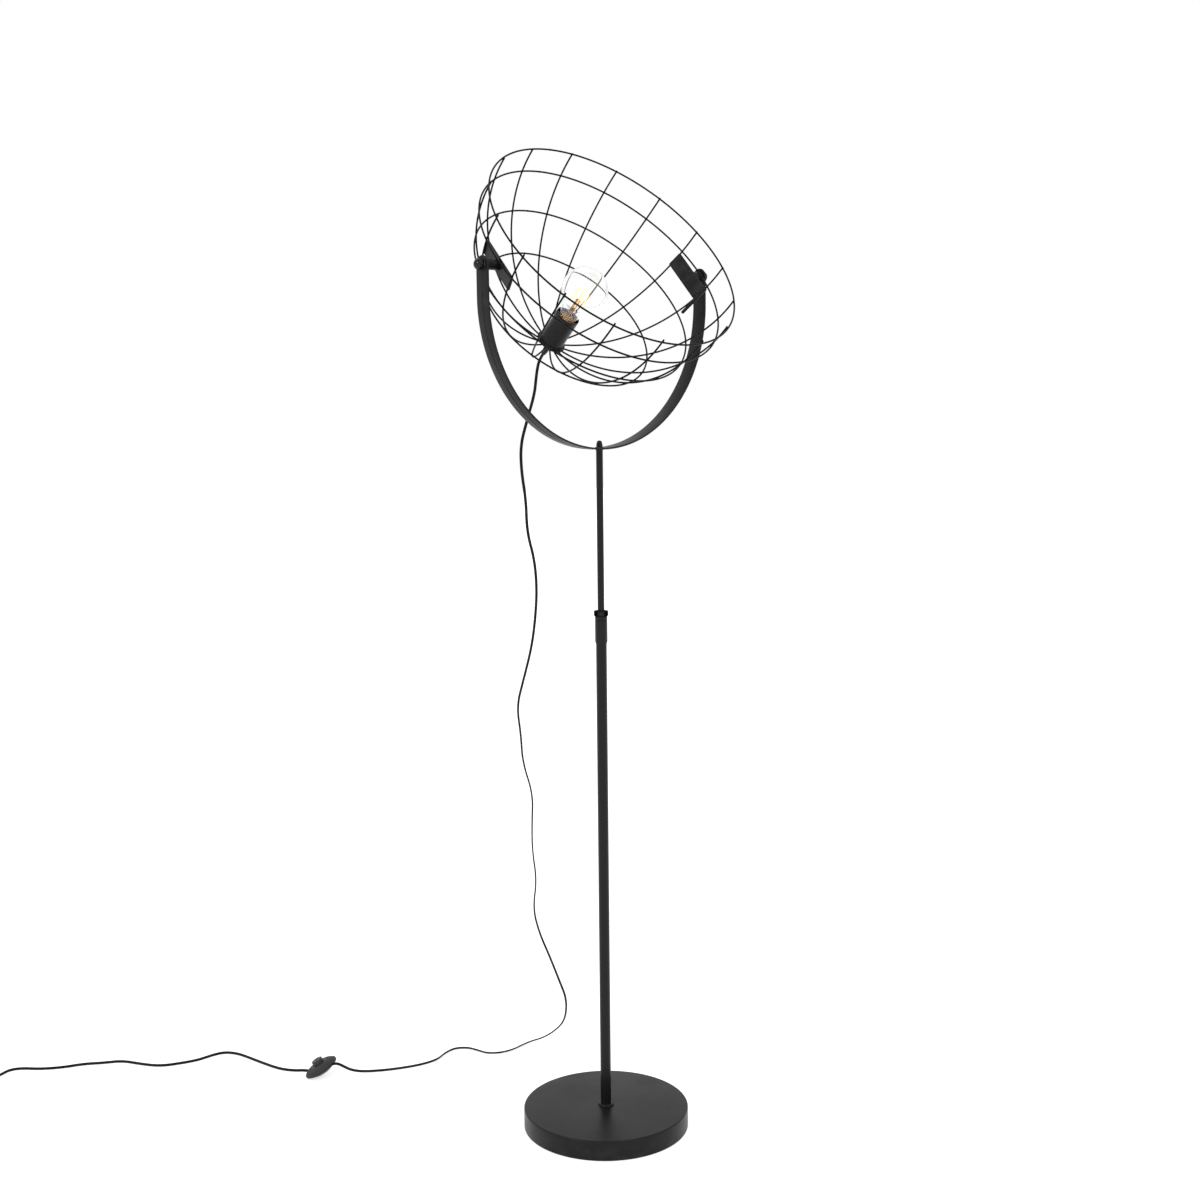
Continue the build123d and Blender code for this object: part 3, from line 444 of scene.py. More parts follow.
def mixed_colour(group, mask, first, second):
    mix = group.nodes.new("ShaderNodeMix")
    mix.data_type = "RGBA"
    group.links.new(mask, mix.inputs["Factor"])
    group.links.new(first, mix.inputs["A"])
    group.links.new(second, mix.inputs["B"])
    return mix.outputs["Result"]


def make_grain_group():
    """Cloudy gloss with a fine tooth, as on sprayed or moulded surfaces."""
    group, entry, leave = shader_group(
        "surface_grain",
        [("Vector", "Vector", None), ("Cloud Scale", "Float", 18.0), ("Tooth Scale", "Float", 900.0),
         ("Rough Low", "Float", 0.3), ("Rough High", "Float", 0.45)],
        [("Roughness", "Float"), ("Height", "Float")],
    )
    cloud = noise_in(group, entry, "Cloud Scale", 5.0)
    tooth = noise_in(group, entry, "Tooth Scale", 2.0)
    rough = ranged(group, cloud, 0.3, 0.7, entry.outputs["Rough Low"], entry.outputs["Rough High"])
    group.links.new(rough, leave.inputs["Roughness"])
    group.links.new(tooth, leave.inputs["Height"])
    return group


def make_wear_group():
    """Paint gone thin on the edges, and dust that has settled on what faces up."""
    group, entry, leave = shader_group(
        "wear_and_dust",
        [("Vector", "Vector", None), ("Color", "Color", (0.02, 0.02, 0.02, 1.0)),
         ("Edge Color", "Color", (0.2, 0.2, 0.2, 1.0)), ("Edge", "Float", 0.3),
         ("Dust Color", "Color", (0.3, 0.29, 0.28, 1.0)), ("Dust", "Float", 0.05), ("Scale", "Float", 60.0)],
        [("Color", "Color")],
    )
    geometry = group.nodes.new("ShaderNodeNewGeometry")
    patches = ranged(group, noise_in(group, entry, "Scale", 6.0), 0.42, 0.62)
    edge = ranged(group, geometry.outputs["Pointiness"], 0.53, 0.6)
    edge = multiplied(group, multiplied(group, edge, patches), entry.outputs["Edge"])
    worn = mixed_colour(group, edge, entry.outputs["Color"], entry.outputs["Edge Color"])
    parts = group.nodes.new("ShaderNodeSeparateXYZ")
    group.links.new(geometry.outputs["Normal"], parts.inputs["Vector"])
    upward = ranged(group, parts.outputs["Z"], 0.3, 1.0)
    cloud = ranged(group, noise_in(group, entry, "Scale", 8.0, 0.3), 0.3, 0.75, 0.3, 1.0)
    dust = multiplied(group, multiplied(group, upward, cloud), entry.outputs["Dust"])
    group.links.new(mixed_colour(group, dust, worn, entry.outputs["Dust Color"]), leave.inputs["Color"])
    return group


GRAIN = make_grain_group()
WEAR = make_wear_group()

# ---- Materials --------------------------------------------------------------------------------


class Finish:
    """A material with its Principled shader, its object coordinates and the two shared groups."""

    def __init__(self, name, colour, metallic=0.0):
        self.name = name
        self.material = bpy.data.materials.new(name)
        self.material.use_nodes = True
        self.nodes = self.material.node_tree.nodes
        self.links = self.material.node_tree.links
        self.shader = self.nodes["Principled BSDF"]
        self.colour = (*colour, 1.0)
        self.shader.inputs["Base Color"].default_value = self.colour
        self.shader.inputs["Metallic"].default_value = metallic
        self.place = self.nodes.new("ShaderNodeTexCoord").outputs["Object"]

    def set(self, **values):
        for label, value in values.items():
            self.shader.inputs[label.replace("_", " ")].default_value = value
        return self

    def grain(self, low, high, cloud=18.0, tooth=900.0, bump=0.02, distance=0.1 * MM):
        group = self.nodes.new("ShaderNodeGroup")
        group.node_tree = GRAIN
        self.links.new(self.place, group.inputs["Vector"])
        values = {"Cloud Scale": cloud, "Tooth Scale": tooth, "Rough Low": low, "Rough High": high}
        for label, value in values.items():
            group.inputs[label].default_value = value
        self.links.new(group.outputs["Roughness"], self.shader.inputs["Roughness"])
        relief = self.nodes.new("ShaderNodeBump")
        relief.inputs["Strength"].default_value = bump
        relief.inputs["Distance"].default_value = distance
        self.links.new(group.outputs["Height"], relief.inputs["Height"])
        self.links.new(relief.outputs["Normal"], self.shader.inputs["Normal"])
        return self

    def hatch_painted_shade(self, pitch, place):
        """Two crossed sets of fine grooves on the face at this place, drawn only in the colour: painted shade
        in the grooves and a painted highlight where the lands between them cross.
        """
        masks = []
        for turn in (pi / 4, -pi / 4):
            mapping = self.nodes.new("ShaderNodeMapping")
            mapping.vector_type = "TEXTURE"
            mapping.inputs["Location"].default_value = place.translation
            mapping.inputs["Rotation"].default_value = (place @ Matrix.Rotation(turn, 4, "Z")).to_euler()
            self.links.new(self.place, mapping.inputs["Vector"])
            wave = self.nodes.new("ShaderNodeTexWave")
            wave.inputs["Scale"].default_value = 2 * pi / pitch / 20
            self.links.new(mapping.outputs["Vector"], wave.inputs["Vector"])
            masks.append(wave.outputs["Fac"])
        both = self.nodes.new("ShaderNodeMath")
        both.operation = "MULTIPLY"
        for mask, socket in zip(masks, both.inputs):
            self.links.new(mask, socket)
        mix = self.nodes.new("ShaderNodeMix")
        mix.data_type = "RGBA"
        self.links.new(both.outputs[0], mix.inputs["Factor"])
        # painted shade for the grooves (darker) and painted highlight for the lands (lighter)
        mix.inputs["A"].default_value = [part * 0.35 for part in self.colour[:3]] + [1.0]
        mix.inputs["B"].default_value = [part * 2.2 for part in self.colour[:3]] + [1.0]
        self.links.new(mix.outputs["Result"], self.shader.inputs["Base Color"])
        return self

    def wear(self, edge_colour=(0.1, 0.1, 0.1), edge=0.25, dust=0.05, scale=60.0):
        group = self.nodes.new("ShaderNodeGroup")
        group.node_tree = WEAR
        self.links.new(self.place, group.inputs["Vector"])
        group.inputs["Color"].default_value = self.colour
        group.inputs["Edge Color"].default_value = (*edge_colour, 1.0)
        group.inputs["Edge"].default_value = edge
        group.inputs["Dust"].default_value = dust
        group.inputs["Scale"].default_value = scale
        self.links.new(group.outputs["Color"], self.shader.inputs["Base Color"])
        return self


def make_materials():
    made = {}

    def keep(finish):
        made[finish.name] = finish.material

    paint = Finish("black_powder_coat", (0.0065, 0.0065, 0.0068)).set(Specular_IOR_Level=0.16)
    keep(paint.grain(0.3, 0.42, tooth=1400.0, bump=0.12).wear(edge=0.12, dust=0.012))
    strip = Finish("black_strip_coat", (0.0075, 0.0075, 0.0078)).set(Specular_IOR_Level=0.2)
    keep(strip.grain(0.36, 0.5, tooth=1200.0, bump=0.15).wear(edge=0.12, dust=0.01))
    wire = Finish("black_wire_coat", (0.004, 0.004, 0.0042)).set(Specular_IOR_Level=0.07)
    keep(wire.grain(0.28, 0.42, cloud=60.0, tooth=2400.0, bump=0.08).wear(dust=0.01, edge=0.0))
    tube = Finish("black_tube_coat", (0.006, 0.006, 0.0063)).set(Specular_IOR_Level=0.2)
    keep(tube.grain(0.26, 0.3, cloud=30.0, tooth=1800.0, bump=0.02).wear(dust=0.0, edge=0.0))
    knob = Finish("black_turned_metal", (0.004, 0.004, 0.0042)).set(Specular_IOR_Level=0.3)
    keep(knob.grain(0.05, 0.09, cloud=200.0, tooth=3000.0, bump=0.02).wear(edge=0.1, dust=0.0, scale=300.0))
    zinc = Finish("zinc_steel", (0.52, 0.52, 0.53), metallic=1.0)
    zinc.grain(0.25, 0.42, cloud=150.0, tooth=2500.0, bump=0.06)
    keep(zinc.wear(edge_colour=(0.7, 0.7, 0.7), dust=0.0))
    iron = Finish("raw_iron", (0.09, 0.085, 0.08), metallic=0.5)
    iron.grain(0.6, 0.85, cloud=40.0, tooth=700.0, bump=0.5)
    keep(iron.wear(edge_colour=(0.2, 0.18, 0.16), dust=0.0))
    felt = Finish("black_felt", (0.022, 0.022, 0.023))
    felt.set(Sheen_Weight=0.4, Sheen_Roughness=0.5)
    keep(felt.grain(0.9, 1.0, cloud=80.0, tooth=2200.0, bump=0.8, distance=0.4 * MM))
    nylon = Finish("natural_nylon", (0.62, 0.61, 0.57))
    keep(nylon.grain(0.35, 0.5, cloud=80.0, tooth=1500.0, bump=0.05))
    fibre = Finish("black_fibre", (0.02, 0.02, 0.02))
    keep(fibre.grain(0.55, 0.75, cloud=200.0, tooth=2500.0, bump=0.2))
    holder = Finish("black_bakelite", (0.007, 0.007, 0.0073)).set(Specular_IOR_Level=0.2)
    keep(holder.grain(0.3, 0.42, cloud=60.0, tooth=1600.0, bump=0.06).wear(edge=0.15, dust=0.02, scale=150.0))
    ceramic = Finish("white_ceramic", (0.72, 0.7, 0.64))
    keep(ceramic.grain(0.12, 0.3, cloud=90.0, tooth=900.0, bump=0.04))
    brass = Finish("rolled_brass", (0.42, 0.25, 0.075), metallic=1.0)
    keep(brass.grain(0.3, 0.45, cloud=150.0, tooth=2500.0, bump=0.05).wear(
        edge_colour=(0.8, 0.62, 0.32), dust=0.0, scale=300.0))
    nickel = Finish("plated_nickel", (0.6, 0.58, 0.54), metallic=1.0)
    keep(nickel.grain(0.14, 0.28, cloud=120.0, tooth=2500.0, bump=0.04))
    flex = Finish("black_flex", (0.006, 0.006, 0.0063)).set(Specular_IOR_Level=0.12)
    keep(flex.grain(0.38, 0.52, cloud=60.0, tooth=1500.0, bump=0.1))
    moulded = Finish("moulded_black", (0.014, 0.014, 0.0146)).set(Specular_IOR_Level=0.3)
    keep(moulded.grain(0.4, 0.55, cloud=60.0, tooth=1300.0, bump=0.3).wear(edge=0.15, dust=0.06, scale=150.0))
    # the push button: its cross-hatch is painted shade in the grooves and painted highlight on the lands
    hatch_shaded = Finish("button_painted_groove_shade", (0.03, 0.03, 0.031)).set(Specular_IOR_Level=0.35)
    keep(hatch_shaded.hatch_painted_shade(1.1 * MM, SWITCH).grain(0.35, 0.5, cloud=80.0, tooth=1500.0, bump=0.1))
    glass = Finish("clear_glass", (1.0, 1.0, 1.0))
    keep(glass.set(Transmission_Weight=1.0, Roughness=0.0, IOR=1.46))
    warm = Finish("warm_glass", (0.5, 0.27, 0.09))
    keep(warm.set(Transmission_Weight=0.6, Roughness=0.12, IOR=1.3))
    glow = Finish("lit_filament", (1.0, 0.7, 0.35))
    keep(glow.set(Emission_Color=(1.0, 0.42, 0.07, 1.0), Emission_Strength=1.6))
    return made


M = make_materials()

CAD_FINISHES = {
    "raw_iron": ["base_weight"],
    "black_felt": ["base_pad"],
    "zinc_steel": ["base_washer", "base_bolt", "foot_plug", "swivel_stud", "knob_washers", "nipple",
                   "lock_nuts", "switch_screws"],
    "natural_nylon": ["collar_bush", "collet", "tube_guide"],
    "black_fibre": ["swivel_washers", "friction_washers"],
    "black_powder_coat": ["cap_nut", "right_plate", "left_plate", "right_boss", "left_boss", "plate_rod"],
    "rolled_brass": ["centre_contact", "bulb_contact", "switch_contacts"],
    "warm_glass": ["bulb_stem"],
    "lit_filament": ["filaments"],
    "black_turned_metal": ["right_knob", "left_knob"],
    "moulded_black": ["plug_body"],
    "plated_nickel": ["plug_pins"],
    "white_ceramic": ["holder_insert"],
}


def finish_cad_nodes():
    for name, nodes in CAD_FINISHES.items():
        for node in nodes:
            piece = frame["nodes"][node]
            piece.data.materials.clear()
            piece.data.materials.append(M[name])


# ---- Foot and pole ------------------------------------------------------------------------------


def make_base_cover():
    """A spun cup over the weight, its rim just off the floor."""
    inner_r = BASE_R - BASE_WALL
    inner_top = BASE_TOP - BASE_WALL
    outline = [(inner_r, BASE_LIFT), (BASE_R, BASE_LIFT)]
    outline += arc((BASE_R - BASE_EDGE, BASE_TOP - BASE_EDGE), BASE_EDGE, 0, 90, 8)
    outline += [(FERRULE_R, BASE_TOP), (LOWER_TUBE_R / 2, BASE_TOP), (LOWER_TUBE_R / 2, inner_top)]
    outline += [(inner_r, inner_top)]
    cover = lathe("foot_cover", outline, steps=160)
    finished(cover, "base", M["black_powder_coat"], ["base_cover"])


def make_ferrule():
    outline = [(LOWER_TUBE_R + 0.05 * MM, BASE_TOP), (FERRULE_R, BASE_TOP), (FERRULE_R, BASE_TOP + 0.8 * MM)]
    outline += arc((FERRULE_R - 2.4 * MM, BASE_TOP + 0.8 * MM), 2.4 * MM, 0, 90, 8)[1:]
    outline += [(LOWER_TUBE_R + 0.05 * MM, BASE_TOP + FERRULE_H)]
    finished(lathe("ferrule", outline), "base", M["black_powder_coat"], ["foot_ferrule"])


def tube(name, radius, node, body, material):
    """A tube with eased ends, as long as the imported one."""
    low, high = (corner.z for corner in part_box(node))
    ease = 0.3 * MM
    outline = [
        (radius - TUBE_WALL, low), (radius - ease, low), (radius, low + ease),
        (radius, high - ease), (radius - ease, high), (radius - TUBE_WALL, high),
    ]
    finished(lathe(name, outline, steps=64), body, material, [node])


def make_collar():
    """The sleeve on the lower tube, with a turned groove, and the neck under the clamp ring."""
    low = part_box("collar")[0].z
    neck_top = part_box("collar")[1].z
    top = low + 41.0 * MM
    tube_r = LOWER_TUBE_R + 0.05 * MM
    groove = top - 6.0 * MM
    outline = [
        (tube_r, low), (LOWER_TUBE_R + 0.25 * MM, low), (COLLAR_R, low + COLLAR_CONE_H),
        (COLLAR_R, groove - 0.5 * MM), (COLLAR_R - 0.35 * MM, groove - 0.2 * MM),
        (COLLAR_R - 0.35 * MM, groove + 0.2 * MM), (COLLAR_R, groove + 0.5 * MM),
        (COLLAR_R, top - 0.5 * MM), (COLLAR_R - 0.5 * MM, top), (NECK_R, top), (NECK_R, neck_top),
        (UPPER_TUBE_R + 1.1 * MM, neck_top), (UPPER_TUBE_R + 1.1 * MM, top - 3.0 * MM),
        (tube_r, top - 3.0 * MM),
    ]
    finished(lathe("tube_collar", outline, steps=96), "base", M["black_tube_coat"], ["collar"])


def make_clamp_ring():
    """The grooved ring that is turned to let the upper tube slide."""
    low, high = (corner.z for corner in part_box("clamp_ring"))
    lip = high - 1.8 * MM
    ease = 0.6 * MM
    outline = [
        (NECK_R + 0.05 * MM, low), (CLAMP_R - ease, low), (CLAMP_R, low + ease), (CLAMP_R, high - ease),
        (CLAMP_R - ease, high), (UPPER_TUBE_R + 0.3 * MM, high), (UPPER_TUBE_R + 0.3 * MM, lip),
        (NECK_R + 0.05 * MM, lip),
    ]
    sides_per_groove = 4
    ring = lathe("turning_ring", outline, steps=CLAMP_GROOVES * sides_per_groove)
    step = 2 * pi / (CLAMP_GROOVES * sides_per_groove)

    def in_groove(centre, normal):
        number = round(atan2(centre.y, centre.x) / step - 0.5)
        on_rim = abs(normal.z) < 0.5 and centre.xy.length > CLAMP_R - ease / 2
        return on_rim and number % sides_per_groove == 0

    take(ring)
    select_faces(ring, in_groove)
    bpy.ops.object.mode_set(mode="EDIT")
    bpy.ops.mesh.select_mode(type="FACE")
    bpy.ops.mesh.inset(thickness=0.08 * MM, use_individual=True)
    bpy.ops.transform.shrink_fatten(value=-0.45 * MM)
    bpy.ops.object.mode_set(mode="OBJECT")
    finished(ring, "clamp_ring", M["black_turned_metal"], ["clamp_ring"])


# ---- Yoke -----------------------------------------------------------------------------------------


def make_yoke():
    """A flat strip bent to a half circle, with straight arms and round ends."""
    arc_z = PIVOT.z - YOKE_STRAIGHT
    clear_selection()
    bpy.ops.mesh.primitive_plane_add(size=1.0, location=(YOKE_R, 0.0, PIVOT.z))
    strip = bpy.context.active_object
    strip.scale = (STRIP_T, STRIP_W, 1.0)
    strip = new_piece("yoke_band")
    bpy.ops.object.mode_set(mode="EDIT")
    bpy.ops.mesh.select_mode(type="FACE")
    bpy.ops.mesh.select_all(action="SELECT")
    half_w = STRIP_W / 2
    rings = 10
    for step in range(rings):
        turn, next_turn = (pi / 2 * number / rings for number in (step, step + 1))
        rise = half_w * (sin(next_turn) - sin(turn))
        shrink = max(cos(next_turn), 0.02) / max(cos(turn), 0.02)
        bpy.ops.mesh.extrude_region_move(TRANSFORM_OT_translate={"value": (0.0, 0.0, rise)})
        bpy.ops.transform.resize(value=(1.0, shrink, 1.0), center_override=(YOKE_R, 0.0, PIVOT.z))
    bpy.ops.object.mode_set(mode="OBJECT")
    lowest = min(vertex.co.z for vertex in strip.data.vertices)
    select_faces(strip, lambda centre, normal: abs(centre.z - lowest) < 0.01 * MM)
    if not any(face.select for face in strip.data.polygons):
        raise RuntimeError("the arm has no open end to go on from")
    bpy.ops.object.mode_set(mode="EDIT")
    bpy.ops.mesh.extrude_region_move(TRANSFORM_OT_translate={"value": (0.0, 0.0, arc_z - PIVOT.z)})
    bpy.ops.mesh.spin(steps=64, angle=pi / 2, center=(0.0, 0.0, arc_z), axis=(0.0, -1.0, 0.0))
    bpy.ops.mesh.delete(type="FACE")
    bpy.ops.object.mode_set(mode="OBJECT")
    mirror = strip.modifiers.new("other_arm", "MIRROR")
    mirror.use_clip = True
    mirror.merge_threshold = 0.1 * MM
    apply_modifiers(strip)
    close_up(strip)
    ease_edges(strip, 0.35 * MM, segments=3, angle=50.0)
    finished(strip, "yoke", M["black_strip_coat"], ["yoke_strip"], angle=50.0)


# ---- Wire cage --------------------------------------------------------------------------------------


def make_rings():
    for node, angle in RING_ANGLES.items():
        radius = RING_R * cos(radians(angle))
        height = RIM - RING_R * sin(radians(angle))
        clear_selection()
        bpy.ops.mesh.primitive_torus_add(
            major_radius=radius, minor_radius=WIRE_R, major_segments=192, minor_segments=12,
            location=(0.0, 0.0, height),
        )
        ring = new_piece(node.replace("_ring", "_hoop"))
        weld_r = WIRE_R * 1.25
        seam = SHADE @ Matrix.Translation((0.0, radius, height))
        put(ring, SHADE)
        clear_selection()
        bpy.ops.mesh.primitive_uv_sphere_add(segments=16, ring_count=10, radius=weld_r)
        bead = new_piece("bead")
        bead.data.transform(Matrix.Diagonal((0.9, 1.0, 1.0, 1.0)))
        put(bead, seam)
        ring = join(ring.name, [ring, bead])
        finished(ring, "shade", M["black_wire_coat"], [node])


def make_uprights():
    """Sixteen wires bent to the cage's curve, their upper ends just past the rim."""
    overshoot = WIRE_OVERSHOOT / CAGE_R
    sweep = overshoot + acos(WIRE_FOOT_R / CAGE_R)
    clear_selection()
    bpy.ops.mesh.primitive_circle_add(
        vertices=12, radius=WIRE_R, fill_type="NGON", location=(CAGE_R, 0.0, 0.0),
    )
    wire = new_piece("uprights")
    wire.data.transform(Matrix.Rotation(-overshoot, 4, "Y"))
    bpy.ops.object.mode_set(mode="EDIT")
    bpy.ops.mesh.select_all(action="SELECT")
    bpy.ops.mesh.spin(steps=56, angle=sweep, center=(0.0, 0.0, 0.0), axis=(0.0, -1.0, 0.0))
    bpy.ops.object.mode_set(mode="OBJECT")
    close_up(wire)
    ease_edges(wire, 0.4 * MM, segments=2, angle=60.0)
    put(wire, SHADE @ Matrix.Translation((0.0, 0.0, RIM)))
    angles = [2 * pi * (number + 0.5) / MERIDIANS for number in range(MERIDIANS)]
    wires = copies_round(wire, angles, SHADE)
    finished(wires, "shade", M["black_wire_coat"], ["meridian_wires"], angle=50.0)


def make_welds():
    """A small bead where each upright crosses each ring."""
    clear_selection()
    bpy.ops.mesh.primitive_ico_sphere_add(subdivisions=2, radius=WIRE_R * 1.15)
    bead = new_piece("weld_beads")
    beads = []
    for angle in RING_ANGLES.values():
        turn = radians(angle)
        between = (RING_R + CAGE_R) / 2
        copy = bead.copy()
        copy.data = bead.data.copy()
        bpy.context.scene.collection.objects.link(copy)
        copy.data.transform(Matrix.Translation((between * cos(turn), 0.0, RIM - between * sin(turn))))
        put(copy, SHADE)
        beads.append(copy)
    bpy.data.objects.remove(bead)
    column = join("weld_beads", beads)
    angles = [2 * pi * (number + 0.5) / MERIDIANS for number in range(MERIDIANS)]
    welds = copies_round(column, angles, SHADE)
    finished(welds, "shade", M["black_wire_coat"])


def make_hub():
    ease = 0.5 * MM
    outline = [
        (5.05 * MM, HUB_LOW), (HUB_R - ease, HUB_LOW), (HUB_R, HUB_LOW + ease), (HUB_R, HUB_TOP - ease),
        (HUB_R - ease, HUB_TOP), (5.05 * MM, HUB_TOP),
    ]
    hub = put(lathe("hub_disc", outline), SHADE)
    finished(hub, "shade", M["black_powder_coat"], ["hub_plate"])


# ---- Lamp holder and bulb ---------------------------------------------------------------------------


def make_holder():
    inner = HOLDER_R - HOLDER_WALL
    ease = 0.6 * MM
    outline = [
        (5.05 * MM, HUB_TOP), (HOLDER_LIP_R - 0.3 * MM, HUB_TOP), (HOLDER_LIP_R, HUB_TOP + 0.3 * MM),
        (HOLDER_LIP_R, HUB_TOP + HOLDER_LIP_H - 0.5 * MM), (HOLDER_LIP_R - 0.5 * MM, HUB_TOP + HOLDER_LIP_H),
        (HOLDER_R, HUB_TOP + HOLDER_LIP_H), (HOLDER_R, HOLDER_MOUTH - ease), (HOLDER_R - ease, HOLDER_MOUTH),
        (inner + ease / 2, HOLDER_MOUTH), (inner, HOLDER_MOUTH - ease / 2), (inner, HOLDER_FLOOR),
        (5.05 * MM, HOLDER_FLOOR),
    ]
    holder = put(lathe("holder_sleeve", outline), SHADE)
    finished(holder, "shade", M["black_bakelite"], ["holder_shell"])


def threaded(name, radius, low, high, wall):
    """A thin sleeve rolled into a round thread, made by turning its profile up a helix."""
    steps = 12
    points = []
    for step in range(steps + 1):
        wave = 0.5 - 0.5 * cos(2 * pi * step / steps)
        points.append((radius - THREAD_DEPTH * wave, THREAD_PITCH * step / steps))
    clear_selection()
    bpy.ops.mesh.primitive_plane_add(size=1.0)
    piece = new_piece(name)
    mesh = piece.data
    mesh.clear_geometry()
    mesh.from_pydata([(r, 0.0, z) for r, z in points], [(n, n + 1) for n in range(steps)], [])
    turns = (high - low - THREAD_PITCH) / THREAD_PITCH
    screw = piece.modifiers.new("thread", "SCREW")
    screw.angle = 2 * pi * turns
    screw.screw_offset = THREAD_PITCH * turns
    screw.steps = round(40 * turns)
    screw.render_steps = screw.steps
    screw.use_merge_vertices = True
    apply_modifiers(piece)
    close_up(piece)
    solid = piece.modifiers.new("wall", "SOLIDIFY")
    solid.thickness = wall
    solid.offset = -1.0
    apply_modifiers(piece)
    return put(piece, SHADE @ Matrix.Translation((0.0, 0.0, low)))


def make_screw_shell():
    shell = threaded("socket_thread", SHELL_R, SHELL_LOW, SHELL_TOP, SHELL_T / 2)
    finished(shell, "shade", M["rolled_brass"], ["screw_shell"])


def make_bulb_cap():
    low = NECK_LOW - CAP_H
    outline = [
        (CAP_R, NECK_LOW), (CAP_R, NECK_LOW - 3.0 * MM), (CAP_R - THREAD_DEPTH, NECK_LOW - 4.0 * MM),
        (CAP_R - THREAD_DEPTH, low), (5.1 * MM, low - 4.0 * MM), (4.6 * MM, low - 4.0 * MM),
        (CAP_R - THREAD_DEPTH - CAP_T, low), (CAP_R - THREAD_DEPTH - CAP_T, NECK_LOW - 4.0 * MM),
        (CAP_R - CAP_T, NECK_LOW - 3.0 * MM), (CAP_R - CAP_T, NECK_LOW),
    ]
    body = put(lathe("cap_sleeve", outline, steps=64), SHADE)
    thread = threaded("cap_thread", CAP_R, low + 0.5 * MM, NECK_LOW - 3.6 * MM, 0.2 * MM)
    cap = join("bulb_cap_rolled", [body, thread])
    finished(cap, "shade", M["rolled_brass"], ["bulb_cap"])


def bulb_outline(inset, steps):
    """The glass's outline from its top to its neck, moved in by this much."""
    globe_r = BULB_R - inset
    waist_x = BULB_NECK_R + BULB_WAIST_R
    waist_y = BULB_CENTRE - sqrt((BULB_R + BULB_WAIST_R) ** 2 - waist_x**2)
    meet = atan2(waist_y - BULB_CENTRE, waist_x) * 180 / pi
    top = [(max(r, POLE), z) for r, z in arc((0.0, BULB_CENTRE), globe_r, 90, meet, steps)]
    waist = arc((waist_x, waist_y), BULB_WAIST_R + inset, 180 + meet, 180, steps // 2)
    return top + waist[1:] + [(BULB_NECK_R - inset, NECK_LOW)]


def make_bulb_glass():
    outline = bulb_outline(0.0, 36) + bulb_outline(BULB_WALL, 36)[::-1]
    glass = put(lathe("clear_bulb", outline, steps=96, closed=False), SHADE)
    finished(glass, "shade", M["clear_glass"], ["bulb_glass"], angle=60.0)


def make_cord_grip():
    """The tapered grip that holds the cord where it leaves the holder, with turned steps."""
    outline = [
        (5.05 * MM, GRIP_TOP), (GRIP_R - 0.4 * MM, GRIP_TOP), (GRIP_R, GRIP_TOP - 0.4 * MM),
        (GRIP_R, GRIP_SHOULDER + 0.6 * MM),
        (GRIP_R - 0.9 * MM, GRIP_SHOULDER), (GRIP_TIP_R, GRIP_TIP + 1.0 * MM),
        (GRIP_TIP_R - 1.0 * MM, GRIP_TIP), (2.25 * MM, GRIP_TIP), (2.25 * MM, GRIP_SHOULDER - 1.0 * MM),
        (5.05 * MM, GRIP_SHOULDER - 1.0 * MM),
    ]
    grip = put(lathe("cord_taper", outline, steps=48), SHADE)
    finished(grip, "shade", M["black_bakelite"], ["cord_grip"])


# ---- Foot switch ----------------------------------------------------------------------------------------


def make_switch_bowl():
    """The lower half of the foot switch: a shallow bowl that meets the dome in a fine seam."""
    wall = SWITCH_WALL
    edge = SWITCH_FOOT_EDGE
    outline = [(POLE, SWITCH_LOW), (SWITCH_FOOT_R - edge, SWITCH_LOW)]
    outline += arc((SWITCH_FOOT_R - edge, SWITCH_LOW + edge), edge, -90, SWITCH_FLANK - 90, 4)[1:]
    outline += [(SWITCH_R - 0.9 * MM, -SWITCH_RIM - 0.5 * MM), (SWITCH_R, -SWITCH_RIM + 0.4 * MM)]
    outline += [(SWITCH_R, -SWITCH_SEAM), (SWITCH_R - SWITCH_SEAM, 0.0), (SWITCH_R - wall, 0.0)]
    outline += [(SWITCH_FOOT_R, SWITCH_LOW + wall)]
    outline += [(POLE, SWITCH_LOW + wall)]
    bowl = lathe("switch_bowl", outline, steps=120, closed=False)
    finished(put(bowl, SWITCH), "base", M["black_bakelite"], ["switch_base"])


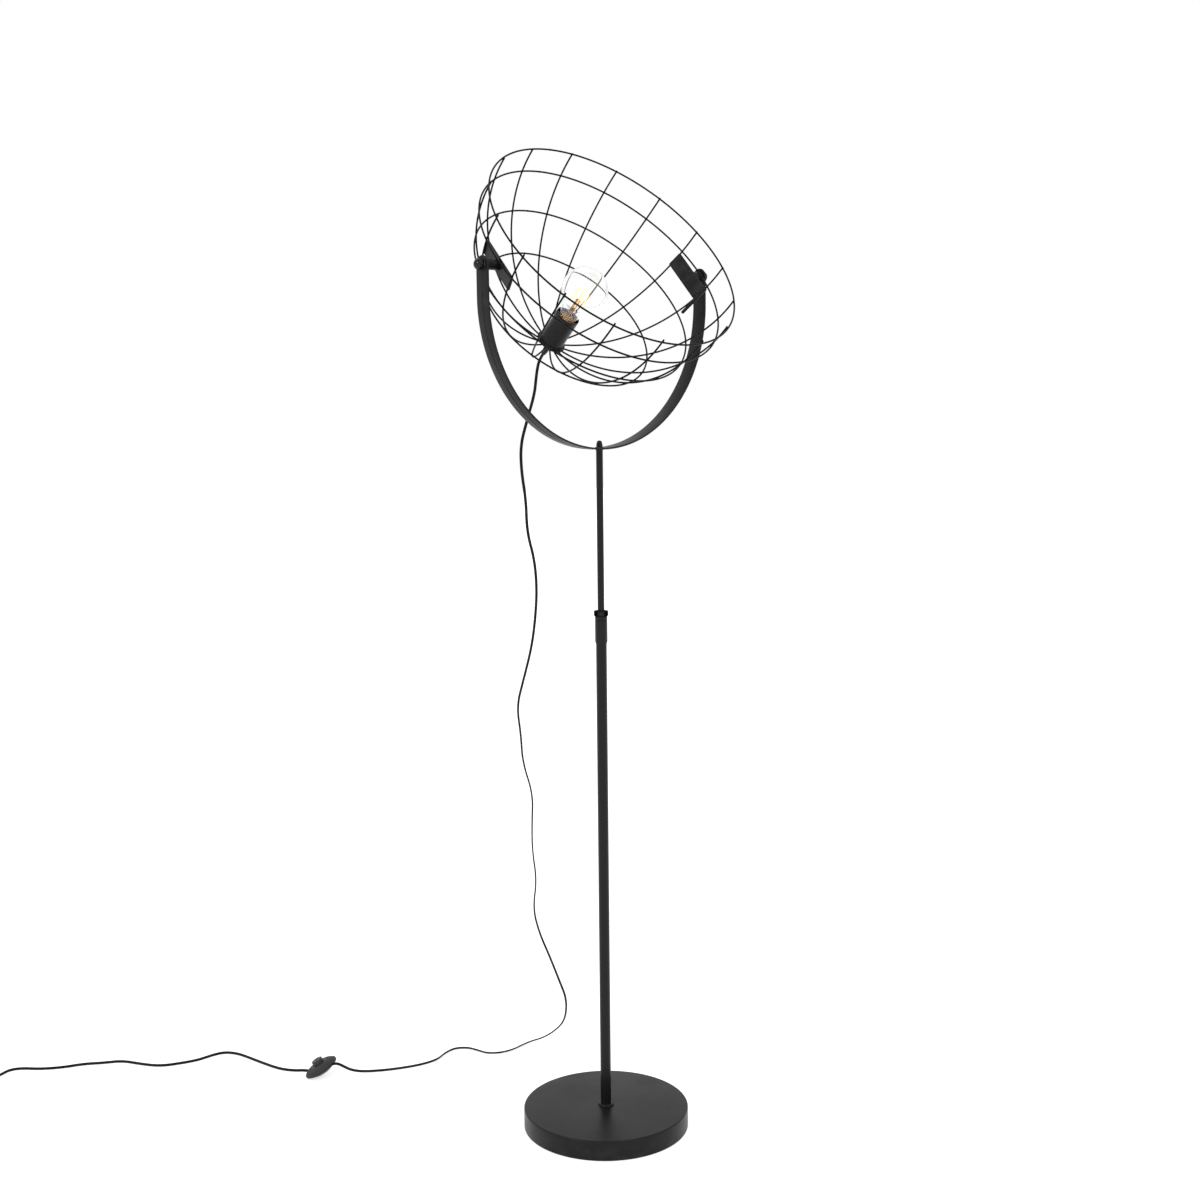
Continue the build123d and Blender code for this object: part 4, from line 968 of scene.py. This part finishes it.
def make_switch_dome():
    """The upper half: a low dome with fine ribs round its flank and a rolled lip at the button."""
    chord = Vector((SWITCH_R - SWITCH_LIP_R, SWITCH_TOP - SWITCH_RIM))
    middle = Vector((SWITCH_R + SWITCH_LIP_R, SWITCH_TOP + SWITCH_RIM)) / 2
    inwards = Vector((-chord.y, -chord.x)).normalized()
    centre = middle + inwards * sqrt(SWITCH_DOME_R**2 - (chord.length / 2) ** 2)
    low_turn = atan2(SWITCH_RIM - centre.y, SWITCH_R - centre.x) * 180 / pi
    top_turn = atan2(SWITCH_TOP - centre.y, SWITCH_LIP_R - centre.x) * 180 / pi
    outer = arc(centre, SWITCH_DOME_R, low_turn, top_turn, 16)
    inner = arc(centre, SWITCH_DOME_R - SWITCH_WALL, top_turn, low_turn + 6.0, 12)
    lip_r = BUTTON_R + BUTTON_GAP
    lip_edge = 0.4 * MM
    low = 0.05 * MM
    outline = [(SWITCH_R - SWITCH_SEAM, low), (SWITCH_R, low + SWITCH_SEAM)] + outer
    outline += [(lip_r + lip_edge, SWITCH_TOP), (lip_r, SWITCH_TOP - lip_edge)]
    outline += [(lip_r, SWITCH_TOP - SWITCH_WALL)] + inner + [(SWITCH_R - SWITCH_WALL, low)]
    dome = lathe("switch_dome", outline, steps=SWITCH_RIBS * 4)
    for vertex in dome.data.vertices:
        reach = vertex.co.xy.length
        turn = atan2(vertex.co.y, vertex.co.x)
        beside_rim = reach < SWITCH_R - 0.1 * MM and vertex.co.z > SWITCH_RIM + 0.4 * MM
        on_flank = beside_rim and reach > SWITCH_LIP_R + 1.2 * MM
        outside = (Vector((reach, vertex.co.z)) - centre).length > SWITCH_DOME_R - 0.1 * MM
        if on_flank and outside:
            groove = (0.5 - 0.5 * cos(turn * SWITCH_RIBS)) ** 2
            vertex.co.xy *= 1 - RIB_DEPTH * groove / reach
            vertex.co.z -= RIB_DEPTH * groove * 0.6
    finished(put(dome, SWITCH), "base", M["moulded_black"], ["switch_cover"], angle=50.0)


def make_switch_button():
    """The round push button, its top slightly dished, with a fine cross-hatch painted on as shade in the
    grooves and highlight on the lands.
    """
    low = BUTTON_FLANGE_LOW
    top = SWITCH_TOP + BUTTON_RISE
    flange_r = BUTTON_R + BUTTON_FLANGE
    flange_top = low + BUTTON_FLANGE
    ceiling = top - 2 * SWITCH_WALL
    edge = BUTTON_EDGE
    outline = [(BUTTON_R - SWITCH_WALL, low), (flange_r, low), (flange_r, flange_top)]
    outline += [(BUTTON_R, flange_top), (BUTTON_R, top - edge)]
    outline += arc((BUTTON_R - edge, top - edge), edge, 0, 90, 6)[1:]
    outline += [(BUTTON_R - 2.2 * MM, top - 0.15 * MM), (4.0 * MM, top - 0.55 * MM), (POLE, top - 0.6 * MM)]
    outline += [(POLE, ceiling), (BUTTON_R - SWITCH_WALL, ceiling)]
    button = put(lathe("push_button", outline, steps=96, closed=True), SWITCH)
    finished(button, "switch_button", M["button_painted_groove_shade"], ["switch_button"])


def make_button_spring():
    """The button's return spring."""
    height = SPRING_TOP - SPRING_FOOT - 2 * SPRING_WIRE_R
    clear_selection()
    bpy.ops.mesh.primitive_circle_add(
        vertices=10, radius=SPRING_WIRE_R, rotation=(pi / 2, 0.0, 0.0),
        location=(SPRING_R - SPRING_WIRE_R, 0.0, SPRING_FOOT + SPRING_WIRE_R),
    )
    spring = new_piece("coil_spring")
    turns = spring.modifiers.new("turns", "SCREW")
    turns.steps = turns.render_steps = 32
    turns.iterations = SPRING_TURNS
    turns.screw_offset = height / SPRING_TURNS
    apply_modifiers(spring)
    take(spring)
    bpy.ops.object.mode_set(mode="EDIT")
    bpy.ops.mesh.select_all(action="SELECT")
    bpy.ops.mesh.fill_holes(sides=12)
    bpy.ops.mesh.normals_make_consistent(inside=False)
    bpy.ops.object.mode_set(mode="OBJECT")
    finished(put(spring, SWITCH), "base", M["zinc_steel"], ["button_spring"], angle=60.0)
    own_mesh(spring)


# ---- Cord ---------------------------------------------------------------------------------------------

# Millimetres, from the lamp holder to the floor, the switch and the coil.
CORD_UPPER = [
    (0.0, 119.72, 1169.18),
    (0.2, 130.6, 1158.9),
    (0.6, 136.2, 1145.0),
    (1.2, 140.3, 1129.0),
    (2.9, 146.0, 1108.1),
    (0.5, 160.5, 1070.5),
    (-1.05, 167.35, 1050.8),
]
CORD_MIDDLE = [
    (-1.05, 167.35, 1050.8),
    (-2.6, 174.2, 1031.1),
    (1.9, 178.3, 989.6),
    (10.3, 178.6, 946.2),
    (14.8, 182.7, 896.3),
    (26.2, 178.9, 852.1),
    (28.9, 179.8, 828.3),
]
CORD_DROP = [
    (28.9, 179.8, 828.3),
    (31.6, 180.7, 804.5),
    (32.3, 186.9, 756.5),
    (30.8, 195.1, 711.4),
    (24.8, 208.9, 659.3),
    (19.7, 220.4, 616.6),
    (27.9, 221.0, 568.3),
    (33.0, 224.4, 522.9),
    (49.3, 218.9, 468.4),
    (52.1, 225.8, 420.2),
    (57.0, 232.2, 371.3),
    (68.4, 235.2, 317.7),
    (69.8, 247.6, 267.1),
    (83.7, 249.7, 222.3),
    (104.5, 246.8, 174.7),
    (125.0, 246.9, 127.6),
    (143.2, 249.1, 88.8),
    (151.5, 264.0, 46.0),
    (146.0, 286.0, 22.0),
    (136.0, 306.0, 7.0),
    (118.0, 318.0, 2.4),
    (96.0, 315.5, 2.4),
    (76.0, 312.0, 2.4),
    (52.0, 315.5, 2.4),
    (33.5, 330.0, 2.4),
    (30.0, 350.0, 2.4),
    (25.5, 371.0, 2.4),
    (7.5, 386.0, 2.4),
    (-17.0, 381.5, 2.4),
    (-43.6, 368.0, 2.4),
    (-77.5, 371.0, 2.4),
    (-116.9, 386.6, 2.4),
    (-147.0, 404.5, 2.4),
    (-165.5, 417.0, 3.6),
    (-180.7, 419.0, 10.0),
    (-192.9, 415.7, 18.5),
    (-203.1, 413.6, 26.5),
    (-209.3, 421.5, 29.8),
    (-212.5, 434.4, 23.7),
]
HANG_POINTS = 6  # of these, in the run by the pole, before the split
CORD_TAIL = [
    (-222.0, 473.2, 5.2),
    (-223.4, 479.2, 2.4),
    (-228.5, 488.5, 2.4),
    (-240.0, 497.5, 2.4),
    (-254.0, 520.0, 2.4),
    (-262.0, 563.3, 2.4),
    (-266.9, 600.0, 2.4),
    (-272.0, 627.0, 2.4),
    (-285.0, 646.0, 2.4),
    (-306.0, 650.0, 2.4),
    (-332.0, 648.0, 2.4),
    (-362.0, 657.0, 2.4),
    (-391.7, 670.8, 2.4),
    (-410.2, 699.6, 2.4),
    (-427.0, 734.8, 2.4),
    (-454.2, 749.2, 2.4),
    (-479.2, 767.9, 2.4),
    (-512.5, 780.0, 2.4),
    (-541.7, 799.9, 2.4),
    (-562.0, 824.0, 2.4),
    (-580.0, 832.0, 2.4),
    (-599.0, 823.0, 2.4),
    (-619.0, 817.0, 2.4),
    (-636.0, 824.0, 2.4),
    (-648.0, 831.5, 2.4),
]


def smooth_line(name, points):
    """The points of a NURBS curve with these control points."""
    curve = bpy.data.curves.new(name, "CURVE")
    curve.dimensions = "3D"
    curve.resolution_u = 10
    spline = curve.splines.new("NURBS")
    spline.points.add(len(points) - 1)
    for point, place in zip(spline.points, points):
        point.co = (*place, 1.0)
    spline.order_u = 3
    spline.use_endpoint_u = True
    holder = bpy.data.objects.new(name, curve)
    bpy.context.scene.collection.objects.link(holder)
    bpy.context.view_layer.update()
    mesh = bpy.data.meshes.new_from_object(holder)
    line = [vertex.co.copy() for vertex in mesh.vertices]
    bpy.data.objects.remove(holder)
    bpy.data.meshes.remove(mesh)
    return line


def flex_profile():
    """Two round cores side by side with a shallow valley between them."""
    core_r = CORD_T / 2
    core_x = CORD_W / 2 - core_r
    turns = [radians(turn) for turn in range(-120, 121, 30)]
    right = [(core_x + core_r * cos(turn), core_r * sin(turn)) for turn in turns]
    return right + [(-x, -y) for x, y in right]


def flex(name, points, twist, first_side):
    """The flat flex along a smooth line, turning slowly on itself by the given twist per metre."""
    line = smooth_line(name, points)
    profile = flex_profile()
    tangents = []
    for number in range(len(line)):
        before = line[max(number - 1, 0)]
        after = line[min(number + 1, len(line) - 1)]
        tangents.append((after - before).normalized())
    side = Vector(first_side)
    vertices = []
    walked = 0.0
    for number, (place, tangent) in enumerate(zip(line, tangents)):
        side = (side - tangent * side.dot(tangent)).normalized()
        if number:
            walked += (place - line[number - 1]).length
        turned = Matrix.Rotation(twist(walked), 3, tangent) @ side
        other = tangent.cross(turned)
        vertices += [place + turned * x + other * y for x, y in profile]
    count = len(profile)
    faces = []
    for ring in range(len(line) - 1):
        for corner in range(count):
            following = (corner + 1) % count
            low, high = ring * count, (ring + 1) * count
            faces.append((low + corner, low + following, high + following, high + corner))
    faces.append(tuple(range(count))[::-1])
    faces.append(tuple(range(len(vertices) - count, len(vertices))))
    mesh = bpy.data.meshes.new(name)
    mesh.from_pydata(vertices, [], faces)
    piece = bpy.data.objects.new(name, mesh)
    bpy.context.scene.collection.objects.link(piece)
    close_up(piece)
    return piece, line


def line_length(line):
    return sum((after - before).length for before, after in zip(line, line[1:]))


def in_metres(points):
    return [Vector(point) * MM for point in points]


COIL_TURN_POINTS = 18
COIL_START = radians(-86.0)
COIL_END = radians(147.0)
COIL_TURNS = 4
COIL_RADII = (29.6, 25.0, 20.4, 22.6, 29.4)  # millimetres, after each turn but the last part
COIL_HEIGHTS = (2.4, 2.4, 2.4, 7.0, 7.0)


def coil_points():
    """The spare length, wound clockwise from the outside in, then back out on top."""
    whole = COIL_TURNS * 2 * pi + (COIL_START - COIL_END + 2 * pi) % (2 * pi)
    count = round(COIL_TURN_POINTS * whole / (2 * pi))
    points = []
    for number in range(1, count + 1):
        share = number / count * (len(COIL_RADII) - 1)
        stage = min(int(share), len(COIL_RADII) - 2)
        part = share - stage
        radius = (COIL_RADII[stage] * (1 - part) + COIL_RADII[stage + 1] * part) * MM
        height = (COIL_HEIGHTS[stage] * (1 - part) + COIL_HEIGHTS[stage + 1] * part) * MM
        turn = COIL_START - whole * number / count
        place = COIL_CENTRE + Vector((cos(turn), sin(turn))) * radius
        points.append(Vector((*place, height)))
    return points


def finish_cord(piece):
    smooth(piece, 60.0)
    piece.data.materials.append(M["black_flex"])


def make_cords():
    """The flex in four runs."""
    nodes = frame["nodes"]
    hanging = in_metres(CORD_DROP)
    split = (hanging[HANG_POINTS - 1] + hanging[HANG_POINTS]) / 2

    hook_points = in_metres(CORD_UPPER[:-1] + CORD_MIDDLE[1:])
    hook, line = flex("flex_from_holder", hook_points, lambda walked: 0.3 + 2.6 * walked, (1, 0, 0))
    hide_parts("cord_upper", "cord_middle")
    finish_cord(hook)
    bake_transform(hook)

    hang_points = hanging[:HANG_POINTS] + [split]
    hang, line = flex("flex_by_pole", hang_points, lambda walked: 1.23 + 2.2 * walked, (1, 0, 0))
    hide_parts("cord_drop")
    finish_cord(hang)
    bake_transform(hang)
    hang_twist = 1.23 + 2.2 * line_length(line)

    drop_points = [split] + hanging[HANG_POINTS:]
    drop, line = flex("flex_to_switch", drop_points, lambda walked: hang_twist + 2.2 * walked, (1, 0, 0))
    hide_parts("cord_drop")
    switch_pieces = ("switch_bowl", "switch_dome", "push_button", "coil_spring")
    switch = [bpy.data.objects[name] for name in switch_pieces]
    switch += [nodes[name] for name in ("switch_contacts", "switch_screws")]
    finish_cord(drop)
    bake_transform(drop)

    tail_points = in_metres(CORD_TAIL) + coil_points() + plug_lead()
    tail, line = flex("flex_to_plug", tail_points, lambda walked: 0.0, (0, 0, 1))
    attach(tail, "base")
    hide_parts("cord_tail", "cord_coil")
    finish_cord(tail)


def plug_lead():
    """The last points of the cord, straight into the plug's nose."""
    heading = Vector((cos(PLUG_HEADING), sin(PLUG_HEADING), 0.0))
    return [PLUG_TAIL - heading * 5.0 * MM, PLUG_TAIL + heading * 2.0 * MM]


# ---- Build --------------------------------------------------------------------------------------------

bpy.context.scene.view_settings.view_transform = "Standard"
set_camera()
set_world(0.7)
add_floor(0.6)
add_sun("key", (0.9, 0.11, -0.42), radians(9.0), 0.8)
add_sun("second", (0.18, 0.8, -0.57), radians(9.0), 0.6)

finish_cad_nodes()
make_switch_bowl()
make_switch_dome()
make_switch_button()
make_button_spring()
make_cords()
make_base_cover()
make_ferrule()
tube("lower_pole", LOWER_TUBE_R, "lower_tube", "base", M["black_tube_coat"])
tube("upper_pole", UPPER_TUBE_R, "upper_tube", "mast", M["black_tube_coat"])
make_collar()
make_clamp_ring()
make_yoke()
make_rings()
make_uprights()
make_welds()
make_hub()
make_holder()
make_screw_shell()
make_bulb_cap()
make_bulb_glass()
make_cord_grip()
